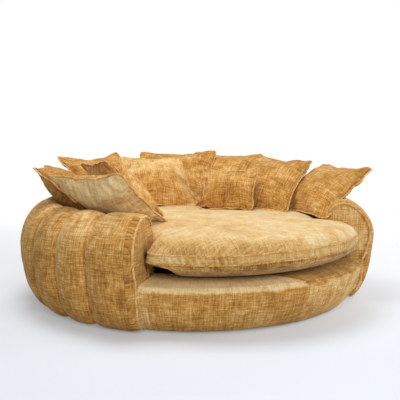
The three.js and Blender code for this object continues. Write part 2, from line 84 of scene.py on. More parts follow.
def linear(red: int, green: int, blue: int) -> Colour:
    """Turn a colour as seen on a screen into a linear one.

    Args:
        red: Red, from 0 to 255.
        green: Green, from 0 to 255.
        blue: Blue, from 0 to 255.

    Returns:
        The colour in linear light.
    """

    def one(value: int) -> float:
        """Linear level of one channel."""
        share = value / 255
        return share / 12.92 if share <= 0.04045 else ((share + 0.055) / 1.055) ** 2.4

    return one(red), one(green), one(blue)


# Finishes


class Sketch:
    """A material's node tree, written node by node."""

    def __init__(self, name: str) -> None:
        """Start an empty material.

        Args:
            name: Name of the material.
        """
        self.material = bpy.data.materials.new(name)
        self.material.use_nodes = True
        self.tree = self.material.node_tree
        self.tree.nodes.clear()
        self.output = self.tree.nodes.new("ShaderNodeOutputMaterial")

    def node(self, kind: str, **values: object) -> bpy.types.Node:
        """Add a node and set its sockets or properties.

        Args:
            kind: Type of the node, without the prefix ShaderNode.
            **values: Socket values or linked sockets by name, with _ for a space, or properties.

        Returns:
            The new node.
        """
        made = self.tree.nodes.new("ShaderNode" + kind)
        for key, value in values.items():
            name = key.replace("_", " ")
            if hasattr(made, key) and name not in made.inputs:
                setattr(made, key, value)
                continue
            socket = made.inputs[int(key[1:])] if key[0] == "i" and key[1:].isdigit() else made.inputs[name]
            if isinstance(value, bpy.types.NodeSocket):
                self.tree.links.new(value, socket)
            else:
                socket.default_value = value
        return made

    def math(self, operation: str, first: object, second: object = 0.0) -> bpy.types.NodeSocket:
        """Add a Math node.

        Args:
            operation: Name of the operation.
            first: First value or socket.
            second: Second value or socket.

        Returns:
            The result's socket.
        """
        return self.node("Math", operation=operation, i0=first, i1=second).outputs[0]

    def spread(self, value: object, low: float, high: float) -> bpy.types.NodeSocket:
        """Stretch a value so that low becomes 0 and high becomes 1.

        Args:
            value: Socket to stretch.
            low: What becomes 0.
            high: What becomes 1.

        Returns:
            The stretched value's socket.
        """
        return self.node("MapRange", i0=value, i1=low, i2=high).outputs[0]

    def streaks(
        self, along: object, across: object, length: float, width: float, seed: float
    ) -> bpy.types.NodeSocket:
        """Long thin irregular threads.

        Args:
            along: Coordinate along the threads, in metres.
            across: Coordinate across them, in metres.
            length: Typical length of a thick place, in metres.
            width: Typical width of a thread, in metres.
            seed: Shift that tells one set from another.

        Returns:
            A value from 0 to 1 about 0.5.
        """
        place = self.node(
            "CombineXYZ", X=self.math("DIVIDE", along, length), Y=self.math("DIVIDE", across, width), Z=seed
        ).outputs[0]
        return self.node("TexNoise", Vector=place, Scale=1.0, Detail=3.0, Roughness=0.6).outputs["Fac"]

    def blended(self, base: object, added: object, weight: float) -> bpy.types.NodeSocket:
        """Add a weighted value to another.

        Args:
            base: What it is added to.
            added: The value that is added.
            weight: Its weight.

        Returns:
            The sum's socket.
        """
        return self.math("ADD", base, self.math("MULTIPLY", added, weight))

    def ramp(self, tone: object, low: Stop, high: Stop, *between: Stop) -> bpy.types.NodeSocket:
        """Turn a tone into a colour.

        Args:
            tone: Socket of the tone.
            low: Place and colour of the lowest stop.
            high: Place and colour of the highest stop.
            *between: Places and colours of the stops between them.

        Returns:
            The colour's socket.
        """
        ramp = self.node("ValToRGB", Fac=tone)
        stops = ramp.color_ramp.elements
        for stop, (place, colour) in zip(stops, (low, high)):
            stop.position, stop.color = place, (*colour, 1)
        for place, colour in between:
            stops.new(place).color = (*colour, 1)
        return ramp.outputs[0]

    def surface(
        self, colour: object, height: object, strength: float, depth: float, **more: object
    ) -> bpy.types.Material:
        """Finish the material with a coloured, bumpy surface.

        Args:
            colour: Socket of the colour.
            height: Socket that the bumps follow.
            strength: Strength of the bumps.
            depth: Depth of the bumps, in metres.
            **more: Other sockets of the shader by name.

        Returns:
            The finished material.
        """
        bump = self.node("Bump", Height=height, Strength=strength, Distance=depth).outputs[0]
        return self.finish(self.node("BsdfPrincipled", Base_Color=colour, Normal=bump, **more).outputs[0])

    def finish(self, shader: bpy.types.NodeSocket) -> bpy.types.Material:
        """Link the shader to the output.

        Args:
            shader: The shader's socket.

        Returns:
            The finished material.
        """
        self.tree.links.new(shader, self.output.inputs["Surface"])
        return self.material


@dataclass(frozen=True)
class Chenille:
    """Slubby crosshatched chenille whose tone is shifted per point by its nap and by painted light and shade.
    """

    name: str
    deep: Colour = linear(128, 78, 26)
    middle: Colour = linear(196, 143, 68)
    pale: Colour = linear(240, 214, 160)
    stops: tuple[float, float, float] = (0.1, 0.46, 0.9)
    thread: float = 0.0052
    run: float = 0.06
    slub_width: float = 0.00364
    slub_run: float = 0.02
    thread_span: tuple[float, float] = (0.36, 0.64)
    slub_span: tuple[float, float] = (0.58, 0.74)
    thread_share: float = 0.42
    slub_share: float = 0.4
    weave: float = 0.56
    fine_share: float = 0.14
    patch_share: float = 0.2
    cloud_share: float = 0.1
    darker: float = 0.075
    lift: float = 0.0
    sheen: float = 0.3
    relief: float = 0.0016
    on_surface: bool = True

    def build(self) -> bpy.types.Material:
        """Make the material.

        Returns:
            The chenille.
        """
        sketch = Sketch(self.name)
        if self.on_surface:
            place = sketch.node("UVMap", uv_map=CLOTH_UV).outputs[0]
        else:
            place = sketch.node("TexCoord").outputs["Object"]
        parts = sketch.node("SeparateXYZ", Vector=place).outputs
        along, across, up = parts[0], parts[1], parts[2]
        if not self.on_surface:
            along, across = sketch.math("ADD", along, across), sketch.math("ADD", up, across)
        threads = self.threads(sketch, along, across)
        fine = sketch.node("TexNoise", Vector=place, Scale=150.0, Detail=3.0, Roughness=0.7).outputs["Fac"]
        patches = sketch.node("TexNoise", Vector=place, Scale=13.0, Detail=4.0, Roughness=0.6, Distortion=0.8)
        clouds = sketch.node("TexNoise", Vector=place, Scale=3.6, Detail=2.0, Roughness=0.5, Distortion=0.5)
        tone = sketch.math("MULTIPLY", threads, self.weave)
        tone = sketch.blended(tone, sketch.spread(fine, 0.34, 0.66), self.fine_share)
        tone = sketch.blended(tone, sketch.spread(patches.outputs["Fac"], 0.34, 0.66), self.patch_share)
        tone = sketch.blended(tone, sketch.spread(clouds.outputs["Fac"], 0.3, 0.7), self.cloud_share)
        tone = sketch.math("SUBTRACT", tone, self.darker)
        # Per-point tone of the nap and of painted light and shade.
        tone = sketch.math("ADD", tone, sketch.node("Attribute", attribute_name=NAP_AND_SHADING).outputs["Fac"])
        tone = sketch.math("ADD", tone, self.lift)
        deep, middle, pale = zip(self.stops, (self.deep, self.middle, self.pale))
        return sketch.surface(
            sketch.ramp(tone, deep, pale, middle), sketch.blended(threads, fine, 1.1), 0.6, self.relief,
            Roughness=0.92, Sheen_Weight=self.sheen, Sheen_Roughness=0.45, Sheen_Tint=(*self.pale, 1),
            Specular_IOR_Level=0.2,
        )

    def threads(self, sketch: Sketch, along: object, across: object) -> bpy.types.NodeSocket:
        """Warp and weft with thick and thin places, and a few bright slubs.

        Args:
            sketch: The material in the making.
            along: Cloth coordinate along the weft.
            across: Cloth coordinate along the warp.

        Returns:
            A value from 0 to 1.
        """
        warp, weft = (
            sketch.spread(sketch.streaks(first, second, self.run, self.thread, seed), *self.thread_span)
            for first, second, seed in ((across, along, 1.7), (along, across, 7.3))
        )
        run, width = self.slub_run, self.slub_width
        slub, twist = (
            sketch.spread(sketch.streaks(first, second, run, width, seed), *self.slub_span)
            for first, second, seed in ((along, across, 12.1), (across, along, 17.9))
        )
        plain = sketch.math("MULTIPLY", sketch.math("ADD", warp, weft), self.thread_share)
        return sketch.blended(plain, sketch.math("ADD", slub, twist), self.slub_share)


@dataclass(frozen=True)
class Grain:
    """Sawn or laid-up wood with its grain along one direction."""

    name: str
    dark: Colour
    light: Colour
    stretch: tuple[float, float, float] = (2.5, 2.5, 60.0)
    roughness: float = 0.7

    def build(self) -> bpy.types.Material:
        """Make the material.

        Returns:
            The wood.
        """
        sketch = Sketch(self.name)
        place = sketch.node("TexCoord").outputs["Object"]
        turned = sketch.node("Mapping", Vector=place, Scale=self.stretch).outputs[0]
        rings = sketch.node("TexNoise", Vector=turned, Scale=1.0, Detail=5.0, Roughness=0.65, Distortion=0.3)
        pores = sketch.node("TexNoise", Vector=turned, Scale=6.0, Detail=2.0)
        tone = sketch.blended(sketch.spread(rings.outputs["Fac"], 0.3, 0.7), pores.outputs["Fac"], 0.3)
        colour = sketch.ramp(tone, (0.0, self.dark), (1.0, self.light))
        return sketch.surface(colour, tone, 0.25, 0.0008, Roughness=self.roughness)


@dataclass(frozen=True)
class Speckle:
    """Foam, felt or plastic: an even colour broken by fine cells."""

    name: str
    dark: Colour
    light: Colour
    cells: float = 420.0
    roughness: float = 0.95
    relief: float = 0.001

    def build(self) -> bpy.types.Material:
        """Make the material.

        Returns:
            The speckled material.
        """
        sketch = Sketch(self.name)
        place = sketch.node("TexCoord").outputs["Object"]
        cells = sketch.node("TexVoronoi", Vector=place, Scale=self.cells).outputs["Distance"]
        stain = sketch.node("TexNoise", Vector=place, Scale=7.0, Detail=3.0).outputs["Fac"]
        tone = sketch.blended(sketch.math("MULTIPLY", cells, 0.5), stain, 0.7)
        colour = sketch.ramp(tone, (0.0, self.dark), (1.0, self.light))
        return sketch.surface(colour, cells, 0.5, self.relief, Roughness=self.roughness)


FOAM_DARK, FOAM_LIGHT = linear(214, 196, 148), linear(247, 236, 205)


@dataclass(frozen=True)
class Woven:
    """Woven webbing or zip tape: two sets of threads that cross."""

    name: str
    dark: Colour
    light: Colour
    pitch: float = 0.004

    def build(self) -> bpy.types.Material:
        """Make the material.

        Returns:
            The woven tape.
        """
        sketch = Sketch(self.name)
        place = sketch.node("TexCoord").outputs["Object"]
        scale = 2 * math.pi / self.pitch / WAVE_RATE
        first, second = (
            sketch.node("TexWave", Vector=place, Scale=scale, bands_direction=way).outputs["Fac"]
            for way in "XY"
        )
        weave = sketch.math("MULTIPLY", first, second)
        colour = sketch.ramp(weave, (0.0, self.dark), (1.0, self.light))
        return sketch.surface(colour, weave, 0.6, 0.0008, Roughness=0.85)


# Shared making


def plan_point(turn: float, radius: float, height: float) -> Vector:
    """A point by its turn from the front.

    Args:
        turn: Degrees from the front towards the right.
        radius: Distance from the upright axis.
        height: Height over the floor.

    Returns:
        The point.
    """
    angle = math.radians(turn)
    return Vector((math.sin(angle) * radius, -math.cos(angle) * radius, height))


def turn_of(point: Vector, near: float = 180.0) -> float:
    """Turn of a point from the front, within half a turn of another.

    Args:
        point: The point.
        near: Degrees that the answer lies closest to.

    Returns:
        Degrees from the front towards the right.
    """
    turn = math.degrees(math.atan2(point.x, -point.y))
    return turn + 360 * round((near - turn) / 360)


def ease(share: float) -> float:
    """Smooth step from 0 to 1."""
    held = min(max(share, 0.0), 1.0)
    return held * held * (3 - 2 * held)


def bell(away: float, width: float) -> float:
    """Smooth hump, 1 in its middle and near 0 at twice its width."""
    return math.exp(-((away / width) ** 2))


def window(value: float, low: float, rise: float, high: float, fall: float) -> float:
    """Smooth plateau, 0 below one bound and above another.

    Args:
        value: The value to look up.
        low: Bound below which it is 0.
        rise: Width of the slope up from there.
        high: Bound above which it is 0.
        fall: Width of the slope down to there.

    Returns:
        A value from 0 to 1.
    """
    return ease((value - low) / rise) * ease((high - value) / fall)


@dataclass(frozen=True)
class Puckers:
    """Short folds where cloth is drawn into a seam, in metres."""

    depth: float
    run: float
    start: float

    def left(self, away: float) -> float:
        """Share of the depth that is left at a distance from the seam."""
        return math.exp(-away / self.run) * min(away / self.start, 1.0)


def rounded_line(points: Sequence[Vector], spacing: float, closed: bool = False) -> list[Vector]:
    """A smooth line through points, divided evenly.

    Args:
        points: Points that the line passes.
        spacing: Distance between neighbours on the result.
        closed: Whether the line comes back to its start.

    Returns:
        The divided line.
    """
    count = len(points)
    spans = count if closed else count - 1
    dense: list[Vector] = []
    for i in range(spans):
        if closed:
            ring = [points[(i + k) % count] for k in (-1, 0, 1, 2)]
        else:
            ring = [points[min(max(i + k, 0), count - 1)] for k in (-1, 0, 1, 2)]
        a, b, c, d = ring
        bend, twist = 2 * a - 5 * b + 4 * c - d, 3 * b - a - 3 * c + d
        for step in range(LINE_STEPS):
            t = step / LINE_STEPS
            dense.append(0.5 * (2 * b + (c - a) * t + bend * t * t + twist * t**3))
    dense.append((dense[0] if closed else points[-1]).copy())
    lengths = [0.0]
    for before, after in zip(dense, dense[1:]):
        lengths.append(lengths[-1] + (after - before).length)
    parts = max(round(lengths[-1] / spacing), 3)
    result, j = [], 0
    for i in range(parts + (0 if closed else 1)):
        goal = lengths[-1] * i / parts
        while j < len(lengths) - 2 and lengths[j + 1] < goal:
            j += 1
        span = lengths[j + 1] - lengths[j]
        result.append(dense[j].lerp(dense[j + 1], (goal - lengths[j]) / span if span else 0.0))
    return result


def ripple(place: float, seed: float) -> float:
    """Soft random wave along a line, from about -1 to 1."""
    return noise.noise(Vector((place, seed, 0.37 * seed))) * 1.8


def lay_cloth(mesh: bmesh.types.BMesh, mapped: Callable[[Vector, Vector], tuple[float, float]]) -> None:
    """Give each face corner its place on the flat cloth.

    Args:
        mesh: Mesh to map.
        mapped: Gives the place in metres for a corner and its face's middle.
    """
    layer = mesh.loops.layers.uv.get(CLOTH_UV) or mesh.loops.layers.uv.new(CLOTH_UV)
    for face in mesh.faces:
        middle = face.calc_center_median()
        for loop in face.loops:
            loop[layer].uv = mapped(loop.vert.co, middle)


def brush_nap_and_shading(mesh: bmesh.types.BMesh, toned: Callable[[Vector, Vector], float]) -> None:
    """Give each point its tone of nap and of painted light and shade, dark below 0 and pale above.

    Args:
        mesh: Mesh to brush.
        toned: Gives the tone of nap and painted light and shade for a point and its normal.
    """
    layer = mesh.verts.layers.float.get(NAP_AND_SHADING) or mesh.verts.layers.float.new(NAP_AND_SHADING)
    bmesh.ops.recalc_face_normals(mesh, faces=mesh.faces)
    mesh.normal_update()
    for vert in mesh.verts:
        vert[layer] = toned(vert.co, vert.normal)


def keep(
    mesh: bmesh.types.BMesh, name: str, material: bpy.types.Material, body: str, slot: Slot,
    stands_for: Sequence[str] = (),
) -> bpy.types.Object:
    """Make an object of a mesh and put it on its body.

    Args:
        mesh: The finished mesh, which is freed.
        name: Name of the piece.
        material: Its finish.
        body: Body that it rides on.
        slot: Material slot of the record; not used.
        stands_for: Solids that the piece stands for.

    Returns:
        The new object.
    """
    bmesh.ops.recalc_face_normals(mesh, faces=mesh.faces)
    data = bpy.data.meshes.new(name)
    mesh.to_mesh(data)
    mesh.free()
    data.shade_smooth()
    data.materials.append(material)
    piece = bpy.data.objects.new(name, data)
    bpy.context.scene.collection.objects.link(piece)
    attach(piece, body)
    if stands_for:
        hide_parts(*stands_for)
    log.info("%s: %d faces on %s", name, len(data.polygons), body)
    return piece


def spun(profile: Sequence[Vector], start: float, end: float, steps: int) -> bmesh.types.BMesh:
    """Carry a closed profile of radii and heights round the upright axis, with a face at each end.

    Args:
        profile: Radii and heights, as points with x and z.
        start: Turn that it starts at, in degrees.
        end: Turn that it ends at, in degrees.
        steps: Number of steps.

    Returns:
        The mesh, with the length along the profile kept as a layer named length.
    """
    mesh = bmesh.new()
    layer = mesh.verts.layers.float.new("length")
    verts, gone = [], 0.0
    for i, point in enumerate(profile):
        gone += (point - profile[i - 1]).length if i else 0.0
        vert = mesh.verts.new(plan_point(start, point.x, point.z))
        vert[layer] = gone
        verts.append(vert)
    edges = [mesh.edges.new(pair) for pair in zip(verts, verts[1:] + verts[:1])]
    bmesh.ops.spin(
        mesh, geom=[mesh.faces.new(verts)] + edges + verts, cent=(0, 0, 0), axis=(0, 0, 1),
        angle=math.radians(end - start), steps=steps, use_merge=False, use_duplicate=False,
    )
    return mesh


def lofted(rings: Sequence[Sequence[Vector]]) -> bmesh.types.BMesh:
    """Carry a closed ring through its later places, and close the first and the last.

    Args:
        rings: Places of the ring, each with as many points.

    Returns:
        The mesh, whose points keep the number of their ring in a layer named ring and their place on
        it in a layer named station.
    """
    mesh = bmesh.new()
    level = mesh.verts.layers.int.new("ring")
    station = mesh.verts.layers.int.new("station")
    bmesh.ops.create_circle(mesh, segments=len(rings[0]), radius=1.0, cap_ends=False)
    mesh.verts.ensure_lookup_table()
    for i, vert in enumerate(mesh.verts):
        vert[station] = i
        vert.co = rings[0][i]
    edges = first = list(mesh.edges)
    for number, ring in enumerate(rings[1:], 1):
        made = bmesh.ops.extrude_edge_only(mesh, edges=edges)
        edges = [item for item in made["geom"] if isinstance(item, bmesh.types.BMEdge)]
        for vert in (item for item in made["geom"] if isinstance(item, bmesh.types.BMVert)):
            vert[level] = number
            vert.co = ring[vert[station]]
    bmesh.ops.poke(mesh, faces=bmesh.ops.contextual_create(mesh, geom=edges)["faces"])
    bmesh.ops.contextual_create(mesh, geom=first)
    return mesh


def tube(
    name: str, points: Sequence[Vector], radius: float, closed: bool, material: bpy.types.Material, body: str,
    slot: Slot,
) -> None:
    """Piping: a round cord sewn along a seam.

    Args:
        name: Name of the piece.
        points: Line that it follows.
        radius: Radius of the cord.
        closed: Whether it comes back to its start.
        material: Its finish.
        body: Body that it rides on.
        slot: Material slot of the record.
    """
    curve = bpy.data.curves.new(name + "_line", "CURVE")
    curve.dimensions = "3D"
    curve.bevel_depth = radius
    curve.bevel_resolution = 3
    curve.use_fill_caps = True
    spline = curve.splines.new("POLY")
    spline.points.add(len(points) - 1)
    for point, place in zip(spline.points, points):
        point.co = (*place, 1)
    spline.use_cyclic_u = closed
    holder = bpy.data.objects.new(name + "_line", curve)
    bpy.context.scene.collection.objects.link(holder)
    shaped = holder.evaluated_get(bpy.context.evaluated_depsgraph_get())
    data = bpy.data.meshes.new_from_object(shaped)
    bpy.data.objects.remove(holder)
    bpy.data.curves.remove(curve)
    mesh = bmesh.new()
    mesh.from_mesh(data)
    bpy.data.meshes.remove(data)
    bmesh.ops.remove_doubles(mesh, verts=mesh.verts, dist=1e-5)
    keep(mesh, name, material, body, slot)


# Sizes


@dataclass(frozen=True)
class Sizes:
    """Sizes of the chair in metres, the same as its solids have but for the fuller hems."""

    radius: float = 0.9
    arm_height: float = 0.5
    arm_width: float = 0.245
    opening: float = 47.5
    wrap_gap: float = 0.03
    channels: int = 19
    channel_depth: float = 0.03
    hem: float = 0.012
    lining: float = 0.015
    lining_bend: float = 0.39
    deck_rest: float = 0.1672
    deck_height: float = 0.23
    wall_step: float = 0.11
    ledge_height: float = 0.2
    ledge_radius: float = 0.852
    front_hem_radius: float = 0.765
    base_ring: float = 0.748
    ring_gap: float = 0.0015
    outline_spacing: float = 0.012

    @property
    def inner_wall(self) -> float:
        """Radius of the inside wall."""
        return self.radius - self.arm_width

    @property
    def wrap_start(self) -> float:
        """Turn at which the wrap-round arm starts."""
        return self.opening + self.wrap_gap

    @property
    def wrap_end(self) -> float:
        """Turn at which the wrap-round arm ends."""
        return 360 - self.wrap_start


SIZES = Sizes()
# Shares of the arm's width and height, and of the rail's reach and the ledge's height.
ARM_SHARES = (
    (0.625, 0.0), (0.742, 0.08), (0.876, 0.2), (0.966, 0.36), (1.0, 0.54), (0.965, 0.7),
    (0.84, 0.85), (0.64, 0.96), (0.45, 1.0), (0.25, 0.984), (0.09, 0.91),
)
FRONT_SHARES = (
    (0.0, 0.0), (0.4, 0.24), (0.72, 0.5), (0.93, 0.74), (1.0, 0.88), (0.985, 0.975), (0.88, 1.035),
)


def arm_line() -> list[Vector]:
    """Outside line of the arm from the hem to the inner shoulder, as radii and heights.

    Returns:
        The points of the line.
    """
    return [
        Vector((SIZES.inner_wall + SIZES.arm_width * out, 0, max(SIZES.arm_height * up, SIZES.hem)))
        for out, up in ARM_SHARES
    ]


def arm_outline() -> list[Vector]:
    """Closed outline of the whole arm section, as radii and heights.

    Returns:
        The points of the outline.
    """
    clear = SIZES.base_ring + SIZES.ring_gap
    wall = [(SIZES.inner_wall, SIZES.lining_bend - SIZES.wall_step * i) for i in range(2)]
    under = [(SIZES.inner_wall, SIZES.deck_rest), (clear, SIZES.deck_rest), (clear, SIZES.hem)]
    return rounded_line(arm_line(), SIZES.outline_spacing) + [Vector((x, 0, z)) for x, z in wall + under]


SECTION_MIDDLE = Vector((SIZES.inner_wall + SIZES.arm_width / 2, 0, SIZES.arm_height / 2))


# The arm and back


@dataclass
class WrapRoundArm:
    """Channelled cover, lining, end facings and their welts."""

    steps_per_channel: int = 20
    profile_spacing: float = 0.0115
    seam_groove: float = 0.009
    groove_width: float = 0.0055
    seam_sharpness: float = 2.6
    end_seam_share: float = 0.1
    puckers: Puckers = Puckers(0.0034, 0.032, 0.007)
    slack: float = 0.0045
    hem_depth: float = 0.35
    hem_rise: float = 3.2
    shoulder_fade: float = 0.16
    full_shoulder: float = 0.02
    shoulder_angle: float = 48.0
    shoulder_spread: float = 30.0
    shoulder_turns: tuple[float, float] = (2.0, 26.0)
    left_drift: float = 2.0
    drift_channels: tuple[float, float, float, float] = (0.0, 2.2, 9.0, 6.0)
    fold_radius: float = 0.78
    # Painted top light on upward faces, partly the lie of the nap, and painted shade that deepens the cover
    # low down.
    top_tone: float = 0.12
    height_shade_tone: float = 0.07
    lobe_tone: float = 0.05
    cloud_tone: float = 0.07
    inner_hem_radius: float = 0.729
    inner_line: tuple[tuple[float, float], ...] = (
        (0.778, 0.12), (0.855, 0.27), (0.82, 0.39), (0.765, 0.452), (0.705, 0.452),
    )
    inner_tuck: tuple[float, float] = (0.016, -0.004)
    inner_spacing: float = 0.05
    lining_drop: float = 0.0003
    lining_bulge: float = 0.006
    lining_heights: tuple[float, float] = (0.425, 0.29)
    lining_spacing: float = 0.02
    lining_steps: int = 190
    lining_tone: float = -0.06
    facing_line: tuple[tuple[float, float], ...] = (
        (0.003, 0.0), (0.003, 0.005), (0.0036, 0.012), (0.0055, 0.02), (0.009, 0.0275), (0.0135, 0.033),
        (0.0165, 0.0315), (0.0205, 0.033), (0.03, 0.0352), (0.045, 0.0365), (0.064, 0.037), (0.088, 0.0374),
    )
    facing_spread: float = 2.0
    spread_height: float = 0.19
    spread_reach: float = 0.11
    spread_inset: float = 0.008
    facing_slack: float = 0.003
    facing_shift: float = 0.31
    facing_tone: float = 0.05
    facing_low_tone: float = 0.12
    # Painted light from the right: the right arm's facing paler.
    right_facing_light_tone: float = 0.14
    welt_level: int = 5
    welt_radius: float = 0.0052
    welt_spacing: float = 0.01
    welt_wander: float = 0.0014
    welt_wave: float = 0.0012
    crease_heights: tuple[float, ...] = (0.402, 0.33, 0.19)
    crease_depth: float = 0.0032
    crease_width: float = 0.005
    crease_wander: float = 0.006
    chenille: Chenille = Chenille("chenille_arm")
    # The welt is paler than the cover: a painted highlight along the round cord.
    welt: Chenille = Chenille("chenille_welt", on_surface=False, lift=0.18)

    def build(self) -> None:
        """Make every piece of the arm and back."""
        gold, welt = self.chenille.build(), self.welt.build()
        self.cover(gold)
        self.lining(gold)
        for side, name in ((1, "right"), (-1, "left")):
            self.facing(side, name, gold, welt)

    def shouldered(self, flat: Vector, turn: float) -> Vector:
        """Fill out the outer shoulder towards the arm's ends, where the facings keep it square.

        Args:
            flat: Radius and height on the arm section.
            turn: Turn from the front.

        Returns:
            The radius and height, moved outwards.
        """
        from_end = min(abs(turn - SIZES.wrap_start), abs(turn - SIZES.wrap_end))
        away = flat - SECTION_MIDDLE
        angle = math.degrees(math.atan2(away.z, away.x))
        near, far = self.shoulder_turns
        share = bell(angle - self.shoulder_angle, self.shoulder_spread)
        share *= ease((far - from_end) / (far - near))
        return flat + away.normalized() * self.full_shoulder * share

    def channelled(self, point: Vector, start: float, reach: float) -> Vector:
        """Draw a point of the smooth arm into its channel.

        Args:
            point: Point on the smooth arm.
            start: Turn at which the channels start.
            reach: How deep the channels are here, from 0 to 1.

        Returns:
            The moved point.
        """
        width = (SIZES.wrap_end - SIZES.wrap_start) / SIZES.channels
        share = (turn_of(point) - start) / width
        channel = min(max(math.floor(share + 1e-6), 0), SIZES.channels - 1)
        phase = min(max(share - channel, 0.0), 1.0)
        if 0.0 < phase < 1.0:
            phase = 0.5 - 0.5 * math.cos(math.pi * phase) * (1 - 0.45 * math.sin(math.pi * phase) ** 2)
        edge = abs(2 * phase - 1)
        radius = math.hypot(point.x, point.y)
        away = min(phase, 1 - phase) * math.radians(width) * radius
        seam = channel + round(phase)
        sewn = self.end_seam_share if seam in (0, SIZES.channels) else 1.0
        sunk = sewn * SIZES.channel_depth * edge**self.seam_sharpness
        sunk += sewn * self.seam_groove * bell(away, self.groove_width)
        pucker = ripple(point.z * 42 + radius * 22, 3.1 * seam + (phase > 0.5))
        sunk += self.puckers.depth * sewn * self.puckers.left(away) * pucker
        slack = 0.6 * ripple(point.z * 6 + radius * 4, 11.7 + channel)
        slack += 0.3 * ripple(point.z * 15 + radius * 9, 5.2 + channel)
        sunk += self.slack * slack * (1 - edge**3)
        if channel == SIZES.channels - 1:
            sunk += self.creased(point.z, phase)
        flat = self.shouldered(Vector((radius, 0, point.z)), turn_of(point))
        moved = flat + (SECTION_MIDDLE - flat).normalized() * sunk * reach
        turn = start + (channel + phase) * width + self.drift(SIZES.channels - channel - phase)
        return plan_point(turn, moved.x, max(moved.z, SIZES.hem))

    def drift(self, from_left: float) -> float:
        """How far the seams near the left arm end lie towards it.

        Args:
            from_left: Number of channels from the left end.

        Returns:
            Degrees.
        """
        return self.left_drift * window(from_left, *self.drift_channels)

    def creased(self, height: float, phase: float) -> float:
        """Level creases across the lobe at the left arm's end.

        Args:
            height: Height over the floor.
            phase: Place across the lobe, from 0 to 1.

        Returns:
            How far the cloth is drawn in.
        """
        across = math.sin(math.pi * phase) ** 0.5
        lines = (height - at - self.crease_wander * ripple(phase * 3, at * 40) for at in self.crease_heights)
        drawn = sum(bell(line, self.crease_width) for line in lines)
        return self.crease_depth * across * drawn

    def cover(self, material: bpy.types.Material) -> None:
        """Channelled outer cover from the hem over the top to the shoulder.

        Args:
            material: Its chenille.
        """
        outside = rounded_line(arm_line(), self.profile_spacing)
        inside = [Vector((x, 0, z)) for x, z in ((self.inner_hem_radius, SIZES.hem), *self.inner_line)]
        inward, upward = self.inner_tuck
        inside.append(outside[-1] + Vector((inward, 0, upward)))
        start, end = SIZES.wrap_start, SIZES.wrap_end
        profile = outside + rounded_line(inside, self.inner_spacing)[::-1]
        mesh = spun(profile, start, end, SIZES.channels * self.steps_per_channel)
        layer = mesh.verts.layers.float["length"]
        total = sum((b - a).length for a, b in zip(outside, outside[1:]))
        for vert in mesh.verts:
            share = vert[layer] / total
            if share > 1 + 5e-4:
                continue
            reach = min(1.0, self.hem_depth + share * self.hem_rise) * ease((1 - share) / self.shoulder_fade)
            vert.co = self.channelled(vert.co, start, reach)

        def mapped(co: Vector, middle: Vector) -> tuple[float, float]:
            """Cloth place by turn and by length over the arm."""
            turn = math.radians(turn_of(co, turn_of(middle)))
            flat = math.hypot(co.x, co.y)
            over = co.z if flat > self.fold_radius else SIZES.arm_height + (self.fold_radius - flat)
            return turn * SIZES.radius, over

        lay_cloth(mesh, mapped)
        brush_nap_and_shading(mesh, self.nap_and_shading)
        keep(mesh, "arm_cover", material, Body.CHAIR, Slot.CHENILLE, ["outer_cover"])

    def nap_and_shading(self, co: Vector, normal: Vector) -> float:
        """Tone of the cover: paler over the top as painted top light, partly the lie of the nap, deeper low
        down as painted shade, and another, random, on each lobe.

        Args:
            co: Point on the cover.
            normal: Its normal.

        Returns:
            The tone of nap and painted light and shade.
        """
        width = (SIZES.wrap_end - SIZES.wrap_start) / SIZES.channels
        lobe = math.floor((turn_of(co) - SIZES.wrap_start) / width)
        shade = self.lobe_tone * noise.noise(Vector((lobe * 5.3, 0.4, 1.7)))
        # Painted top light on upward faces, partly the lie of the nap, and painted shade low down.
        tone = self.top_tone * max(normal.z, 0) + self.height_shade_tone * (co.z / SIZES.arm_height - 0.55)
        return tone + shade + self.cloud_tone * noise.noise(co * 3.4)

    def lining(self, material: bpy.types.Material) -> None:
        """Smooth lining of the inside wall.

        Args:
            material: Its chenille.
        """
        upper, lower = self.lining_heights
        face = [arm_line()[-1] - Vector((0, 0, self.lining_drop))]
        face.append(Vector((SIZES.inner_wall + self.lining_bulge, 0, upper)))
        face += [Vector((SIZES.inner_wall, 0, z)) for z in (SIZES.lining_bend, lower, SIZES.deck_rest)]
        face = rounded_line(face, self.lining_spacing)
        back = [Vector((p.x + SIZES.lining, 0, p.z)) for p in face]
        mesh = spun(face + back[::-1], SIZES.wrap_start, SIZES.wrap_end, self.lining_steps)

        def mapped(co: Vector, middle: Vector) -> tuple[float, float]:
            """Cloth place by turn and height."""
            return math.radians(turn_of(co, turn_of(middle))) * SIZES.inner_wall, co.z

        lay_cloth(mesh, mapped)
        brush_nap_and_shading(mesh, lambda co, normal: self.lining_tone + self.lobe_tone * noise.noise(co * 3))
        keep(mesh, "arm_lining", material, Body.CHAIR, Slot.CHENILLE, ["inner_lining"])

    def facing(self, side: int, name: str, material: bpy.types.Material, welt: bpy.types.Material) -> None:
        """Crowned facing at one arm end, with the welt round its edge.

        Args:
            side: 1 for the right arm and -1 for the left.
            name: Word for the side.
            material: Chenille of the facing.
            welt: Chenille of the welt.
        """
        end = SIZES.wrap_start if side > 0 else SIZES.wrap_end
        outline = [self.shouldered(point, end) for point in arm_outline()]
        away = plan_point(SIZES.opening * side, 1.0, 0.0)
        front = Vector((away.y * side, -away.x * side, 0))

        def placed(point: Vector, inset: float, depth: float) -> Vector:
            """A point of the section, drawn in, more so below, and carried forward."""
            outer = point.x > SECTION_MIDDLE.x
            low = bell(point.z - self.spread_height, self.spread_reach) if outer else 0.0
            inset = inset * (1 + self.facing_spread * low * ease(inset / self.spread_inset))
            drawn = point - SECTION_MIDDLE
            x = SECTION_MIDDLE.x + drawn.x * (1 - 2 * inset / SIZES.arm_width)
            z = SECTION_MIDDLE.z + drawn.z * (1 - 2 * inset / SIZES.arm_height)
            return away * x + front * depth + Vector((0, 0, z))

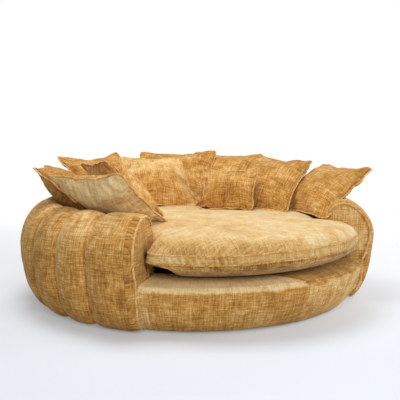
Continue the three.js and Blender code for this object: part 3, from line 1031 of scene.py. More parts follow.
        mesh = lofted([[placed(p, inset, depth) for p in outline] for inset, depth in self.facing_line])
        welt_inset, welt_depth = self.facing_line[self.welt_level]
        for vert in mesh.verts:
            depth = (vert.co - away * vert.co.dot(away)).dot(front)
            raised = ease((depth - 0.006) / 0.02)
            slack = 0.5 * ripple(vert.co.z * 26, vert.co.dot(away) * 9 + side)
            slack += 0.6 * noise.noise(vert.co * 6)
            vert.co += front * (self.facing_slack * slack * raised)
        lay_cloth(mesh, lambda co, centre: (co.dot(away) + self.facing_shift * side, co.z))

        def brushed(co: Vector, normal: Vector) -> float:
            """The facing is paler low down and by its welt, and on the right arm paler still as painted light
            from the right.
            """
            depth = (co - away * co.dot(away)).dot(front)
            inner = ease((depth - welt_depth + 0.001) / 0.002)
            tone = self.facing_tone + self.facing_low_tone * ease((0.24 - co.z) / 0.1)
            # Painted light from the right on the right arm's facing.
            return inner * (tone + self.right_facing_light_tone * (side > 0)) + 0.06 * noise.noise(co * 4)

        brush_nap_and_shading(mesh, brushed)
        keep(mesh, f"facing_{name}_cover", material, Body.CHAIR, Slot.CHENILLE, [f"facing_{name}"])
        line = []
        for point in rounded_line([self.shouldered(p, end) for p in arm_line()], self.welt_spacing):
            wander = self.welt_wander * ripple(point.z * 30 + point.x * 11, 8 + side)
            wave = self.welt_wave * ripple(point.z * 21, 2.0)
            line.append(placed(point, welt_inset + wander, welt_depth + wave))
        tube(f"facing_{name}_welt", line, self.welt_radius, False, welt, Body.CHAIR, Slot.CHENILLE)


# The front rail


@dataclass
class FrontRail:
    """Padded drum front with its ledge and sewn joints."""

    joint_turn: float = 5.0
    joint_slant: float = 7.5
    face_joint_turn: float = 5.0
    end_joint_turn: float = 42.4
    end_turn: float = 45.5
    profile_spacing: float = 0.0095
    steps: int = 264
    ledge_line: tuple[tuple[float, float], ...] = ((0.8, 0.216), (0.75, 0.2215))
    back_line: tuple[tuple[float, float], ...] = ((0.66, 0.21), (0.82, 0.185), (0.83, 0.17))
    back_hem_radius: float = 0.742
    edge_groove: float = 0.008
    joint_groove: float = 0.0045
    groove_width: float = 0.005
    end_groove: float = 0.004
    end_groove_width: float = 0.0045
    puckers: Puckers = Puckers(0.0016, 0.03, 0.006)
    slack: float = 0.004
    # Pale left ledge: partly the panel's own nap, partly painted light under the seat's overhang. The face
    # right of the joint is paler, partly its own tone and partly painted light from the right.
    left_ledge_nap_and_light_tone: float = 0.45
    right_ledge_tone: float = 0.02
    face_tone: float = -0.01
    right_face_panel_and_light_tone: float = 0.14
    end_face_tone: float = 0.16
    cloud_tone: float = 0.06
    welt_radius: float = 0.0046
    chenille: Chenille = Chenille("chenille_rail")
    # The welt is paler than the rail: a painted highlight along the round cord.
    welt: Chenille = Chenille("chenille_rail_welt", on_surface=False, lift=0.14)

    def line(self) -> list[Vector]:
        """Outside line of the rail, from the hem to the deck.

        Returns:
            Radii and heights.
        """
        reach = SIZES.ledge_radius - SIZES.front_hem_radius
        face = [(SIZES.front_hem_radius + reach * out, SIZES.ledge_height * up) for out, up in FRONT_SHARES]
        ledge = (*self.ledge_line, (SIZES.inner_wall, SIZES.deck_height))
        return [Vector((x, 0, max(z, SIZES.hem))) for x, z in (*face, *ledge)]

    def joint_at(self, radius: float, over: float) -> float:
        """Turn of the sewn joint: slanting over the ledge and upright on the face.

        Args:
            radius: Distance from the upright axis.
            over: 0 on the face and 1 on the ledge.

        Returns:
            Degrees from the front.
        """
        back = ease((SIZES.ledge_radius - radius) / 0.2)
        return self.face_joint_turn * (1 - over) + (self.joint_turn - self.joint_slant * back) * over

    def build(self) -> None:
        """Make the padded cover."""
        outside = rounded_line(self.line(), self.profile_spacing)
        back = [Vector((x, 0, z)) for x, z in (*self.back_line, (self.back_hem_radius, SIZES.hem))]
        mesh = spun(outside + back, -self.end_turn, self.end_turn, self.steps)
        layer = mesh.verts.layers.float["length"]
        total = sum((b - a).length for a, b in zip(outside, outside[1:]))
        edge = next(i for i, p in enumerate(outside) if p.z >= SIZES.ledge_height * 1.01)
        edge_length = sum((b - a).length for a, b in zip(outside[:edge], outside[1 : edge + 1]))
        for vert in mesh.verts:
            if vert[layer] <= total:
                vert.co = self.sewn(vert.co, vert[layer] - edge_length)

        def mapped(co: Vector, middle: Vector) -> tuple[float, float]:
            """Cloth place by turn, up the face and back over the ledge."""
            turn = math.radians(turn_of(co, turn_of(middle, 0.0)))
            if middle.z < SIZES.ledge_height * 0.95:
                return turn * SIZES.ledge_radius, co.z
            return turn * SIZES.ledge_radius, SIZES.ledge_height + SIZES.ledge_radius - math.hypot(co.x, co.y)

        lay_cloth(mesh, mapped)
        brush_nap_and_shading(mesh, self.nap_and_shading)
        keep(mesh, "front_cover", self.chenille.build(), Body.CHAIR, Slot.CHENILLE, ["front_rail_cover"])
        welt = self.welt.build()
        for side, name in ((1, "right"), (-1, "left")):
            turn = side * (self.end_turn - 0.1)
            path = [plan_point(turn, point.x + 0.001, point.z) for point in outside[: edge + 2]]
            tube(f"front_welt_{name}", path, self.welt_radius, False, welt, Body.CHAIR, Slot.CHENILLE)

    def sewn(self, co: Vector, past: float) -> Vector:
        """Sink the seams and let the cloth lie slack between them.

        Args:
            co: Point on the smooth rail.
            past: Length along the profile past the ledge's edge.

        Returns:
            The moved point.
        """
        turn = turn_of(co, 0.0)
        radius = math.hypot(co.x, co.y)
        over = ease(past / 0.01 + 0.5)
        groove = self.edge_groove * bell(past, self.groove_width)
        aside = math.radians(turn - self.joint_at(radius, over)) * radius
        groove += self.joint_groove * bell(aside, self.groove_width)
        from_end = math.radians(abs(turn) - self.end_joint_turn) * radius
        groove += self.end_groove * bell(from_end, self.end_groove_width) * (1 - over)
        drawn = self.puckers.depth * self.puckers.left(abs(past))
        groove += drawn * ripple(turn * 0.7, 6.1 + (past > 0))
        slack = self.slack * noise.noise(Vector((turn * 0.09, past * 5, 1.2)))
        slack += 0.4 * self.slack * noise.noise(Vector((turn * 0.5, past * 18, 4.2)))
        radius += (slack - groove) * (1 - over) - 0.5 * groove * over
        return plan_point(turn, radius, max(co.z + (0.5 * slack - groove) * over, SIZES.hem))

    def nap_and_shading(self, co: Vector, normal: Vector) -> float:
        """Tone of the rail: a ledge panel left of the joint paler, partly its own nap and partly painted
        light under the seat's overhang, a deeper one on its right, and the face right of the joint paler,
        partly its own tone and partly painted light from the right.

        Args:
            co: Point on the rail.
            normal: Its normal.

        Returns:
            The tone of nap and painted light.
        """
        radius = math.hypot(co.x, co.y)
        over = ease((normal.z - 0.5) / 0.2) if co.z > SIZES.ledge_height * 0.9 else 0.0
        left = ease((self.joint_at(radius, over) - turn_of(co, 0.0)) / 0.6 + 0.5)
        # Left ledge paler: partly the panel's nap, partly painted light under the seat's overhang.
        ledge = self.left_ledge_nap_and_light_tone * left + self.right_ledge_tone * (1 - left)
        end = ease((abs(turn_of(co, 0.0)) - self.end_joint_turn) / 0.3 + 0.5)
        # Face right of the joint paler: partly its own tone, partly painted light from the right.
        face = self.right_face_panel_and_light_tone * (1 - left) + self.end_face_tone * end + self.face_tone
        return over * ledge + (1 - over) * face + self.cloud_tone * noise.noise(co * 3.1)


# The seat cushion


@dataclass
class SeatCushion:
    """Crowned cushion with a boxed border, two piped seams and gathers."""

    front_radius: float = 0.752
    set_forward: float = 0.115
    back_radius: float = 0.646
    wing_turn: float = 43.99
    underside: float = 0.2303
    lower_seam: float = 0.292
    upper_seam: float = 0.352
    top: float = 0.432
    crown_run: float = 0.3
    stations: int = 1320
    sewn_low: float = 0.3135
    pinch: float = 0.0035
    pinch_width: float = 0.005
    pinch_reach: float = 0.02
    seam_pucker: float = 0.0018
    crown_puckers: Puckers = Puckers(0.0026, 0.02, 0.005)
    broad_slack: float = 0.0035
    fine_slack: float = 0.0022
    piping_radius: float = 0.0042
    gather_pitch: float = 0.027
    gather_depth: float = 0.0052
    gather_turns: tuple[float, float, float, float] = (-41.0, 5.0, -16.0, 9.0)
    gather_reach: float = 0.03
    gather_slant: float = 0.35
    gather_wander: float = 0.009
    wrinkle_depth: float = 0.0012
    border_radius: float = 0.8
    under_shift: float = 0.413
    under_slope: float = 0.9
    # A paler copy of the chenille: partly the seat's own paler cloth, partly painted top light.
    chenille: Chenille = Chenille(
        "chenille_seat", middle=linear(206, 164, 98), pale=linear(238, 224, 186), weave=0.34, lift=0.2,
        sheen=0.4,
    )
    # The piping is paler than the casing: a painted highlight along the round cord.
    piping: Chenille = Chenille("chenille_seat_piping", on_surface=False, lift=0.1)
    foam: Speckle = Speckle("seat_foam", FOAM_DARK, FOAM_LIGHT)
    wing_shares: tuple[tuple[float, float], ...] = (
        (0, 1), (0.15, 1), (0.3, 1), (0.45, 1), (0.6, 1), (0.73, 1), (0.84, 0.997), (0.92, 0.965),
        (0.97, 0.86), (0.995, 0.66), (1.005, 0.4), (1.015, 0.15), (1.05, 0),
    )
    outline_spacing: float = 0.002
    under_spacing: float = 0.012
    border_spacing: float = 0.006
    crown_spacing: float = 0.011
    cord_spacing: float = 0.01
    left_droop: float = 0.0075
    droop_turns: tuple[float, float, float, float] = (-58.0, 14.0, -4.0, 14.0)
    front_turn: float = 58.0
    front_fade: float = 14.0
    tip_turn: float = 33.0
    tip_fade: float = 9.0
    tip_lift: float = 0.7
    rim_radius: float = 0.55
    rim_fade: float = 0.05
    crown_rise: float = 0.06
    foam_inset: float = 0.009
    foam_every: int = 6
    under_shares: tuple[tuple[float, float], ...] = (
        (0.43, 0), (0.33, 0.07), (0.22, 0.24), (0.13, 0.47), (0.055, 0.76), (0, 1),
    )
    border_shares: tuple[tuple[float, float], ...] = ((0, 0), (-0.015, 0.5), (0, 1))
    crown_shares: tuple[tuple[float, float], ...] = (
        (0, 0), (0.06, 0.42), (0.2, 0.74), (0.46, 0.93), (0.9, 1),
    )
    middle_shares: tuple[float, ...] = (0.84, 0.68, 0.52, 0.37, 0.23, 0.1)
    middle_forward: float = 0.04
    top_tone: float = 0.06
    # Painted shade on the crown's left slope.
    slope_shade_tone: float = 0.15
    under_tone: float = 0.32
    border_tone: float = 0.12
    # Painted shadow lines along the piped seams, and painted light and shade on the gathers' ridges and
    # hollows.
    seam_shadow_tone: float = 0.15
    seam_shade: float = 0.005
    fold_shading_tone: float = 0.16
    cloud_tone: float = 0.09

    def outline(self, inset: float, forward: float) -> list[Vector]:
        """Plan outline of the cushion, drawn in.

        Args:
            inset: How far it is drawn in.
            forward: Share of the front's reach past the back's radius that is kept.

        Returns:
            Points at even spacing round the cushion, from the front.
        """
        back = self.back_radius - inset
        turned = self.wing_turn - math.degrees(inset / SIZES.inner_wall)
        half = []
        for along, out in self.wing_shares:
            turn = math.radians(turned * along)
            side = self.set_forward * math.sin(turn)
            ahead = self.set_forward * math.cos(turn)
            front = ahead + math.sqrt(self.front_radius**2 - side**2) - inset
            half.append(plan_point(turned * along, back + (front - back) * out * forward, 0))
        last = turned * self.wing_shares[-1][0]
        half += [plan_point(last + (180 - last) * i / 12, back, 0) for i in range(1, 13)]
        mirrored = [Vector((-p.x, p.y, 0)) for p in half[-2:0:-1]]
        line = rounded_line(half + mirrored, self.outline_spacing, True)
        return [line[round(i * len(line) / self.stations) % len(line)] for i in range(self.stations)]

    def part_levels(
        self, shares: Sequence[tuple[float, float]], low: float, high: float, spacing: float
    ) -> list[tuple[float, float]]:
        """Inset and height of the rings of one part of the casing.

        Args:
            shares: Shares of the crown's run and of the part's height.
            low: Height where the part starts.
            high: Height where it ends.
            spacing: Distance between neighbouring rings.

        Returns:
            Pairs in metres.
        """
        points = [Vector((inset * self.crown_run, 0, low + (high - low) * up)) for inset, up in shares]
        return [(p.x, p.z) for p in rounded_line(points, spacing)]

    def build(self) -> bpy.types.Object:
        """Make the cushion's casing and its piping.

        Returns:
            The casing.
        """
        material, piping = self.chenille.build(), self.piping.build()
        low, high = self.lower_seam, self.upper_seam
        under = self.part_levels(self.under_shares, self.underside, low, self.under_spacing)
        border = self.part_levels(self.border_shares, low, high, self.border_spacing)
        crown = self.part_levels(self.crown_shares, high, self.top, self.crown_spacing)
        levels = under + border[1:] + crown[1:]
        self.core(levels[::3] + levels[-1:])
        mesh = lofted(self.rings(levels))
        level = mesh.verts.layers.int["ring"]
        station = mesh.verts.layers.int["station"]
        for vert in mesh.verts:
            vert.co = self.slackened(vert.co)

        def mapped(co: Vector, centre: Vector) -> tuple[float, float]:
            """Border and underside cloth run round the cushion and the rest lies flat."""
            turn = turn_of(centre, 0.0)
            height = centre.z + self.drooped(turn)
            if not self.underside + 0.003 < height < self.upper_seam:
                return co.x, co.y
            along = math.radians(turn_of(co, turn)) * self.border_radius
            if height > self.sewn_low:
                return along, co.z
            return along + self.under_shift, co.z + self.under_slope * math.hypot(co.x, co.y)

        lay_cloth(mesh, mapped)
        brush_nap_and_shading(mesh, self.nap_and_shading)
        seams = {}
        lowest = min(range(len(levels)), key=lambda i: abs(levels[i][1] - self.sewn_low))
        for name, at in (("lower", lowest), ("upper", len(under) + len(border) - 2)):
            ring = sorted((vert for vert in mesh.verts if vert[level] == at), key=lambda vert: vert[station])
            seams[name] = [vert.co.copy() for vert in ring]
        piece = keep(
            mesh, "seat_cushion_casing", material, Body.SEAT, Slot.CHENILLE_PALE, ["seat_cushion_cover"]
        )
        for name, line in seams.items():
            path = rounded_line(line[::8], self.cord_spacing, True)
            cord = f"seat_cushion_piping_{name}"
            tube(cord, path, self.piping_radius, True, piping, Body.SEAT, Slot.CHENILLE_PALE)
        return piece

    def rings(self, levels: Sequence[tuple[float, float]], sunk: float = 0.0) -> list[list[Vector]]:
        """Rings of the cushion from its underside to the middle of its top.

        Args:
            levels: Insets and heights of the rings round the rim.
            sunk: How far they lie under the casing.

        Returns:
            The rings.
        """
        rings = []
        for inset, height in levels:
            rim = self.outline(inset + sunk, 1 - max(inset, 0) / self.crown_run / 2)
            rings.append([Vector((p.x, p.y, height)) for p in rim])
        middle = Vector((0, -self.middle_forward, levels[-1][1]))
        for share in self.middle_shares:
            rings.append([middle.lerp(p, share) for p in rings[len(levels) - 1]])
        return rings

    def core(self, levels: Sequence[tuple[float, float]]) -> None:
        """Foam core, a little under the casing all round.

        Args:
            levels: Insets and heights of the casing's rings.
        """
        middle = (self.underside + self.top) / 2
        squeeze = 1 - 2 * self.foam_inset / (self.top - self.underside)
        inner = [(inset, middle + (height - middle) * squeeze) for inset, height in levels]
        mesh = lofted([ring[:: self.foam_every] for ring in self.rings(inner, self.foam_inset)])
        for vert in mesh.verts:
            vert.co = self.slackened(vert.co)
        keep(mesh, "seat_cushion_core", self.foam.build(), Body.SEAT, Slot.FOAM, ["seat_cushion_foam"])

    def slackened(self, co: Vector) -> Vector:
        """Gather the border and let the top cloth lie uneven.

        Args:
            co: Point on the smooth casing.

        Returns:
            The moved point.
        """
        flat = math.hypot(co.x, co.y)
        if flat < 0.02:
            return co
        out = Vector((co.x, co.y, 0)) / flat
        turn = turn_of(co, 0.0)
        place = math.radians(turn) * flat
        front = ease((self.front_turn - abs(turn)) / self.front_fade)
        side = ease((flat - self.rim_radius) / self.rim_fade)
        low = co.z - self.sewn_low
        inward = self.pinch * bell(low, self.pinch_width) * side
        inward += self.seam_pucker * front * side * bell(low, self.pinch_reach) * ripple(place / 0.05, 2.6)
        moved = co + out * (self.gathers(place, turn, co.z) * front * side - inward)
        rim = window(co.z, self.lower_seam - 0.02, 0.02, self.upper_seam + 0.05, 0.045)
        moved.z -= self.drooped(turn) * rim * side
        tip = ease((abs(turn) - self.tip_turn) / self.tip_fade) * front * side
        moved.z += self.tip_lift * tip * max(self.sewn_low - co.z, 0.0)
        if co.z <= self.upper_seam:
            return moved
        over = co.z - self.upper_seam
        rise = ease(over / self.crown_rise)
        drawn = self.crown_puckers.left(over) * front
        moved += out * (self.crown_puckers.depth * drawn * ripple(place / 0.03, 8.8))
        slack = self.broad_slack * noise.noise(co * 3.1) + self.fine_slack * noise.noise(co * 8.5)
        return moved + Vector((0, 0, rise * slack))

    def drooped(self, turn: float) -> float:
        """How far the border hangs lower towards the left of the front."""
        return self.left_droop * window(turn, *self.droop_turns)

    def gathers(self, place: float, turn: float, height: float) -> float:
        """Upright folds of the border's cloth, deepest at the left of the front.

        Args:
            place: Length round the border.
            turn: Turn from the front.
            height: Height over the floor.

        Returns:
            How far the cloth stands out.
        """
        middle = (self.sewn_low + self.upper_seam) / 2
        near = max(1 - (abs(height - middle) / self.gather_reach) ** 2, 0.0)
        gathered = window(turn, *self.gather_turns) * (0.7 + 0.5 * ripple(place / 0.11, 7.7))
        slanted = place + (height - middle) * self.gather_slant
        slanted += self.gather_wander * ripple(place / 0.06, 5.1)
        fold = math.sin(2 * math.pi * slanted / self.gather_pitch)
        wrinkle = self.wrinkle_depth * ripple(slanted / 0.03, 3.3)
        return near * (wrinkle + self.gather_depth * gathered * fold)

    def nap_and_shading(self, co: Vector, normal: Vector) -> float:
        """Tone of the cushion: pale above, deeper on the left slope as painted shade and under the lower
        seam, with painted shadow lines along the seams and painted light and shade on the gathers.

        Args:
            co: Point on the cushion.
            normal: Its normal.

        Returns:
            The tone of nap and painted light and shade.
        """
        turn = turn_of(co, 0.0)
        height = co.z + self.drooped(turn)
        under = ease((self.sewn_low - height) / 0.004)
        # Painted shade on the crown's left slope.
        slope = ease((0.97 - normal.z) / 0.25) * ease((height - self.upper_seam) / 0.01)
        left = ease((7 - turn) / 9)
        band = ease((self.upper_seam - height) / 0.004)
        below = self.under_tone * under + self.border_tone * band * (1 - under)
        # Painted shadow lines along the seams, and painted light on the gathers' ridges with painted shade in
        # their hollows.
        seam = min(abs(height - self.upper_seam), abs(height - self.sewn_low))
        shade = self.seam_shadow_tone * math.exp(-seam / self.seam_shade)
        fold = self.gathers(math.radians(turn) * math.hypot(co.x, co.y), turn, height) / self.gather_depth
        shade -= self.fold_shading_tone * fold
        tone = self.top_tone - self.slope_shade_tone * slope * left - below - shade
        return tone + self.cloud_tone * noise.noise(co * 3.2)


# The scatter cushions


@dataclass(frozen=True)
class ScatterPlace:
    """Where one scatter cushion stands and how its corners are pulled."""

    name: str
    turn: float
    out: float
    up: float
    facing: float
    lean: float
    roll: float
    tone: float = 0.0
    # Paler upper part: partly the lie of the nap, partly painted top light. Paler back: painted light against
    # the shade of neighbouring cushions.
    upper_nap_and_light_tone: float = 0.0
    upper_blend: float = 0.35
    back_light_tone: float = 0.0
    small: bool = False
    seed: int = 0
    sag: float = 0.012
    pulls: tuple[tuple[float, float, float], ...] = ((0, 0, 0),) * 4


PLACES = (
    ScatterPlace(
        "rear_middle", 164.7, 0.912, 0.314, -39, 48.9, 2.7, tone=-0.02, seed=1,
        pulls=((-0.018, -0.004, 0), (0.02, 0, -0.005), (0, 0, 0), (0, 0, 0)),
    ),
    ScatterPlace("rear_right", 142.2, 1.034, 0.306, -55.5, 52.7, -3, tone=0.02, seed=2, sag=0.016),
    ScatterPlace("rear_left", -154, 0.947, 0.307, 19.3, 51.7, 2.7, tone=-0.02, seed=3, sag=0.034),
    ScatterPlace(
        "left_side", -108.8, 1.051, 0.251, 61.7, 59.1, -1.9, tone=-0.04, seed=4, sag=0.02,
        pulls=((0, -0.088, 0.062), (0, -0.035, 0.03), (0, 0, 0), (0, 0, 0)),
    ),
    ScatterPlace(
        "right_arm", 67.5, 1.026, 0.253, -88.3, 58.2, 0, tone=0.02, seed=5,
        pulls=((0.012, 0.013, -0.016), (-0.016, -0.032, 0.003), (0.019, 0.014, -0.02), (0, 0, 0)),
    ),
    # right_inner: its lower tone is painted shade, its paler upper part painted top light.
    ScatterPlace(
        "right_inner", 87.6, 0.664, 0.295, -69.6, 53.6, -1.3, tone=-0.05, upper_nap_and_light_tone=0.06, seed=6,
        pulls=((0.021, 0.019, -0.007), (-0.03, -0.035, 0.003), (0.016, 0.006, -0.013), (0, 0, 0)),
    ),
    ScatterPlace(
        "middle", -175, 0.629, 0.298, -4.1, 55.2, -5.5, tone=0.03, upper_nap_and_light_tone=0.15, upper_blend=0.09, seed=7,
        pulls=((0.036, -0.018, 0), (-0.032, 0.014, 0), (-0.012, -0.01, -0.02), (0, 0, 0)),
    ),
    ScatterPlace(
        "left_arm", -70.5, 0.909, 0.252, 116, 58.9, 1.1, back_light_tone=0.44, seed=8, sag=0.016,
        pulls=((-0.002, 0, 0.005), (-0.022, -0.021, -0.011), (0, 0, 0), (0.02, 0.008, -0.02)),
    ),
    ScatterPlace(
        "left_inner", -98.8, 0.625, 0.316, 85.8, 50.4, -0.6, tone=0.04, back_light_tone=0.24, seed=9, sag=0.0,
        pulls=((-0.016, -0.033, 0.011), (-0.034, -0.046, -0.018), (0, 0, 0), (0.012, 0.02, -0.01)),
    ),
    ScatterPlace(
        "small_front", 83.6, 0.283, 0.43, -48.1, 33.5, 3.4, upper_nap_and_light_tone=0.05, small=True, seed=10, sag=0.014,
        pulls=((-0.004, 0.01, 0), (0.002, 0.004, 0), (-0.006, -0.003, 0), (0.01, -0.004, 0)),
    ),
)


@dataclass
class ScatterCushions:
    """Loose cushions with piped edges, pressed into the seat, the arm and each other."""

    large_width: float = 0.45
    large_thickness: float = 0.125
    small_width: float = 0.3
    small_height: float = 0.245
    small_thickness: float = 0.095
    draw: float = 0.132
    bluntness: float = 8.0
    cells: int = 54
    start_share: float = 0.66
    half_seam: float = 0.0015
    broad_dent: float = 0.005
    fine_dent: float = 0.002
    handled_dent: float = 0.009
    puckers: Puckers = Puckers(0.0034, 0.03, 0.006)
    swell_power: float = 0.42
    rim_wave: float = 0.01
    rim_inset: float = 0.003
    rim_wander: float = 0.007
    # Painted shadow line along the piped rim.
    rim_shadow_tone: float = 0.14
    rim_shade: float = 0.03
    cloud_tone: float = 0.08
    cloth_step: float = 0.7
    back_shift: float = 0.37
    spare_cloth: float = 0.045
    stuffing_pressure: float = 2.4
    stuffing_frames: int = 24
    most_moved: float = 0.034
    cord_spacing: float = 0.006
    rounds: int = 4
    reach: float = 0.2
    gap: float = 0.0012
    piping_radius: float = 0.0042
    facing_turn: float = 2.3
    arm_steps: int = 152
    chenille: Chenille = Chenille("chenille_cushion")
    # The piping is paler than the casing: a painted highlight along the round cord.
    piping: Chenille = Chenille("chenille_cushion_piping", on_surface=False, lift=0.16)
    trees: list[BVHTree] = field(default_factory=list)

    def build(self, seat: bpy.types.Object) -> None:
        """Make every scatter cushion in the order of the pile.

        Args:
            seat: The seat cushion's casing, which they stand on.
        """
        material, piping = self.chenille.build(), self.piping.build()
        self.lean_on(seat)
        covers = {place.name: self.cover(place) for place in PLACES}
        self.stuff(list(covers.values()))
        for place in PLACES:
            self.set_down(place, covers[place.name], material, piping)

    def lean_on(self, seat: bpy.types.Object) -> None:
        """Take the seat and the arm as what the cushions are pressed against.

        Args:
            seat: The seat cushion's casing.
        """
        mesh = bmesh.new()
        mesh.from_mesh(seat.data)
        self.trees.append(BVHTree.FromBMesh(mesh))
        mesh.free()
        start, end = SIZES.wrap_start - self.facing_turn, SIZES.wrap_end + self.facing_turn
        mesh = spun(arm_outline(), start, end, self.arm_steps)
        bmesh.ops.recalc_face_normals(mesh, faces=mesh.faces)
        self.trees.append(BVHTree.FromBMesh(mesh))
        mesh.free()

    def size_of(self, place: ScatterPlace) -> tuple[float, float, float]:
        """Width, height and thickness of a cushion."""
        if place.small:
            return self.small_width, self.small_height, self.small_thickness
        return self.large_width, self.large_width, self.large_thickness

    def cover(self, place: ScatterPlace) -> bpy.types.Object:
        """Sew a cushion's two panels together, not yet full.

        Args:
            place: Where the cushion will stand.

        Returns:
            An object that holds the cover lying flat.
        """
        mesh = bmesh.new()
        bmesh.ops.create_cube(mesh, size=2.0)
        sides = [e for e in mesh.edges if abs(e.verts[0].co.z - e.verts[1].co.z) < 1e-6]
        bmesh.ops.subdivide_edges(mesh, edges=sides, cuts=self.cells - 1, use_grid_fill=True)
        across = mesh.verts.layers.float.new("across")
        upward = mesh.verts.layers.float.new("upward")
        face = mesh.verts.layers.float.new("face")
        for vert in mesh.verts:
            a, b = (math.sin(share * math.pi / 2) * 0.35 + share * 0.65 for share in (vert.co.x, vert.co.y))
            vert[across], vert[upward], vert[face] = a, b, 1.0 if vert.co.z > 0 else -1.0
            vert.co = self.formed(place, a, b, vert[face])
        data = bpy.data.meshes.new(f"cover_{place.name}")
        mesh.to_mesh(data)
        mesh.free()
        cover = bpy.data.objects.new(data.name, data)
        bpy.context.scene.collection.objects.link(cover)
        return cover

    def formed(self, place: ScatterPlace, a: float, b: float, side: float) -> Vector:
        """A point of the cushion before it is placed.

        Args:
            place: Where the cushion stands.
            a: Share across, from -1 to 1.
            b: Share upward, from -1 to 1.
            side: 1 on the front and -1 on the back.

        Returns:
            The point.
        """
        width, height, thick = self.size_of(place)
        thick *= self.start_share
        most = max(abs(a), abs(b))
        blunt = (abs(a / most) ** self.bluntness + abs(b / most) ** self.bluntness) if most else 1.0
        blunt = (2 / blunt) ** (most**4 / self.bluntness)
        x = a * width / 2 * blunt * (1 - self.draw * (1 - b * b))
        y = b * height / 2 * blunt * (1 - self.draw * (1 - a * a))
        swell = max((1 - a * a) * (1 - b * b), 0.0) ** self.swell_power
        z = side * (swell * thick / 2 + self.half_seam)
        z += side * self.broad_dent * swell * noise.noise(Vector((a * 2.4, b * 2.4, place.seed * 2.2 + side)))
        z += side * self.fine_dent * swell * noise.noise(Vector((a * 9, b * 9, place.seed * 4.2 + side)))
        return Vector((x, y - place.sag * (1 - a * a) * ease((b + 0.2) / 1.2), z))

    def stuff(self, covers: list[bpy.types.Object]) -> None:
        """Fill the covers: cloth cut a little large swells between its fixed seams.

        Args:
            covers: The covers, which take the filled shape.
        """
        scene = bpy.context.scene
        for cover in covers:
            rim = cover.vertex_groups.new(name="rim")
            sewn = [v.index for v in cover.data.vertices if abs(v.co.z) < self.half_seam + 0.0002]
            rim.add(sewn, 1.0, "REPLACE")
            cloth = cover.modifiers.new("filling", "CLOTH")
            cloth.point_cache.frame_start, cloth.point_cache.frame_end = 1, self.stuffing_frames
            cloth.collision_settings.use_collision = False
            cloth.collision_settings.use_self_collision = False
            settings = cloth.settings
            settings.quality = 6
            settings.mass = 0.15
            settings.tension_stiffness = settings.compression_stiffness = 15
            settings.shear_stiffness = 5
            settings.bending_stiffness = 0.3
            settings.tension_damping = settings.compression_damping = settings.shear_damping = 10
            settings.air_damping = 3.0
            settings.use_pressure = True
            settings.uniform_pressure_force = self.stuffing_pressure
            settings.vertex_group_mass = rim.name
            settings.shrink_min = -self.spare_cloth
            settings.effector_weights.gravity = 0.0
        for number in range(1, self.stuffing_frames + 1):
            scene.frame_set(number)
        graph = bpy.context.evaluated_depsgraph_get()
        shapes = []
        for cover in covers:
            filled = cover.evaluated_get(graph).data
            shapes.append([vert.co.copy() for vert in filled.vertices])
        for cover, shape in zip(covers, shapes):
            cover.modifiers.clear()
            cover.vertex_groups.clear()
            for vert, goal in zip(cover.data.vertices, shape):
                step = goal - vert.co
                vert.co += step.normalized() * min(step.length, self.most_moved)
        scene.frame_set(1)

    def set_down(
        self, place: ScatterPlace, cover: bpy.types.Object, material: bpy.types.Material,
        piping: bpy.types.Material,
    ) -> None:
        """Set a filled cushion in its place and press it into what it leans on.

        Args:
            place: Where it stands.
            cover: Its filled cover, which is used up.
            material: Chenille of the casing.
            piping: Chenille of the piping.
        """
        width, height, _ = self.size_of(place)
        mesh = bmesh.new()
        mesh.from_mesh(cover.data)
        data = cover.data
        bpy.data.objects.remove(cover)
        bpy.data.meshes.remove(data)
        across, upward, face = (mesh.verts.layers.float[name] for name in ("across", "upward", "face"))
        for vert in mesh.verts:
            vert.co.z += vert[face] * self.puckered(place, vert[across], vert[upward], vert[face])
            vert.co += self.pulled(place, vert[across], vert[upward])
            vert.co += self.wavering(place, vert[across], vert[upward])
        at = plan_point(place.turn, SIZES.inner_wall * place.out, SeatCushion.top + height * place.up)
        lean = Matrix.Rotation(math.pi / 2 - math.radians(place.lean), 4, "X")
        turned = Matrix.Rotation(math.radians(place.facing), 4, "Z") @ lean
        moved = Matrix.Translation(at) @ turned @ Matrix.Rotation(math.radians(place.roll), 4, "Z")
        bmesh.ops.transform(mesh, matrix=moved, verts=mesh.verts)
        self.press(mesh)
        cloth = mesh.loops.layers.uv.new(CLOTH_UV)
        for facet in mesh.faces:
            for loop in facet.loops:
                a, b = loop.vert[across], loop.vert[upward]
                shift = self.cloth_step * place.seed + (0.0 if loop.vert[face] > 0 else self.back_shift)
                loop[cloth].uv = (a * width / 2 + shift, b * height / 2)
        nap_and_shading = mesh.verts.layers.float.new(NAP_AND_SHADING)
        for vert in mesh.verts:
            a, b = vert[across], vert[upward]
            # Paler upper part, partly the lie of the nap and partly painted top light; the back's tone is
            # painted light against its neighbours' shade.
            tone = place.tone + place.upper_nap_and_light_tone * ease((b - 0.02) / place.upper_blend + 0.5)
            if vert[face] < 0:
                tone = place.back_light_tone
            # Painted shadow line along the piped rim, on both faces.
            tone -= self.rim_shadow_tone * math.exp(-(1 - max(abs(a), abs(b))) / self.rim_shade)
            cloud = noise.noise(Vector((a * 1.7, b * 1.7, place.seed * 3.1 + vert[face])))
            tone += self.cloud_tone * cloud
            vert[nap_and_shading] = tone
        bmesh.ops.recalc_face_normals(mesh, faces=mesh.faces)
        self.trees.append(BVHTree.FromBMesh(mesh))
        rim = self.rim(mesh)
        body, solid = f"{place.name}_cushion", f"cushion_{place.name}"
        piece = keep(mesh, f"{solid}_casing", material, body, Slot.CHENILLE, [solid])
        smooth = piece.modifiers.new("smooth", "SUBSURF")
        smooth.levels = smooth.render_levels = 1
        path = rounded_line(rim[::2], self.cord_spacing, True)
        tube(f"{solid}_piping", path, self.piping_radius, True, piping, body, Slot.CHENILLE)

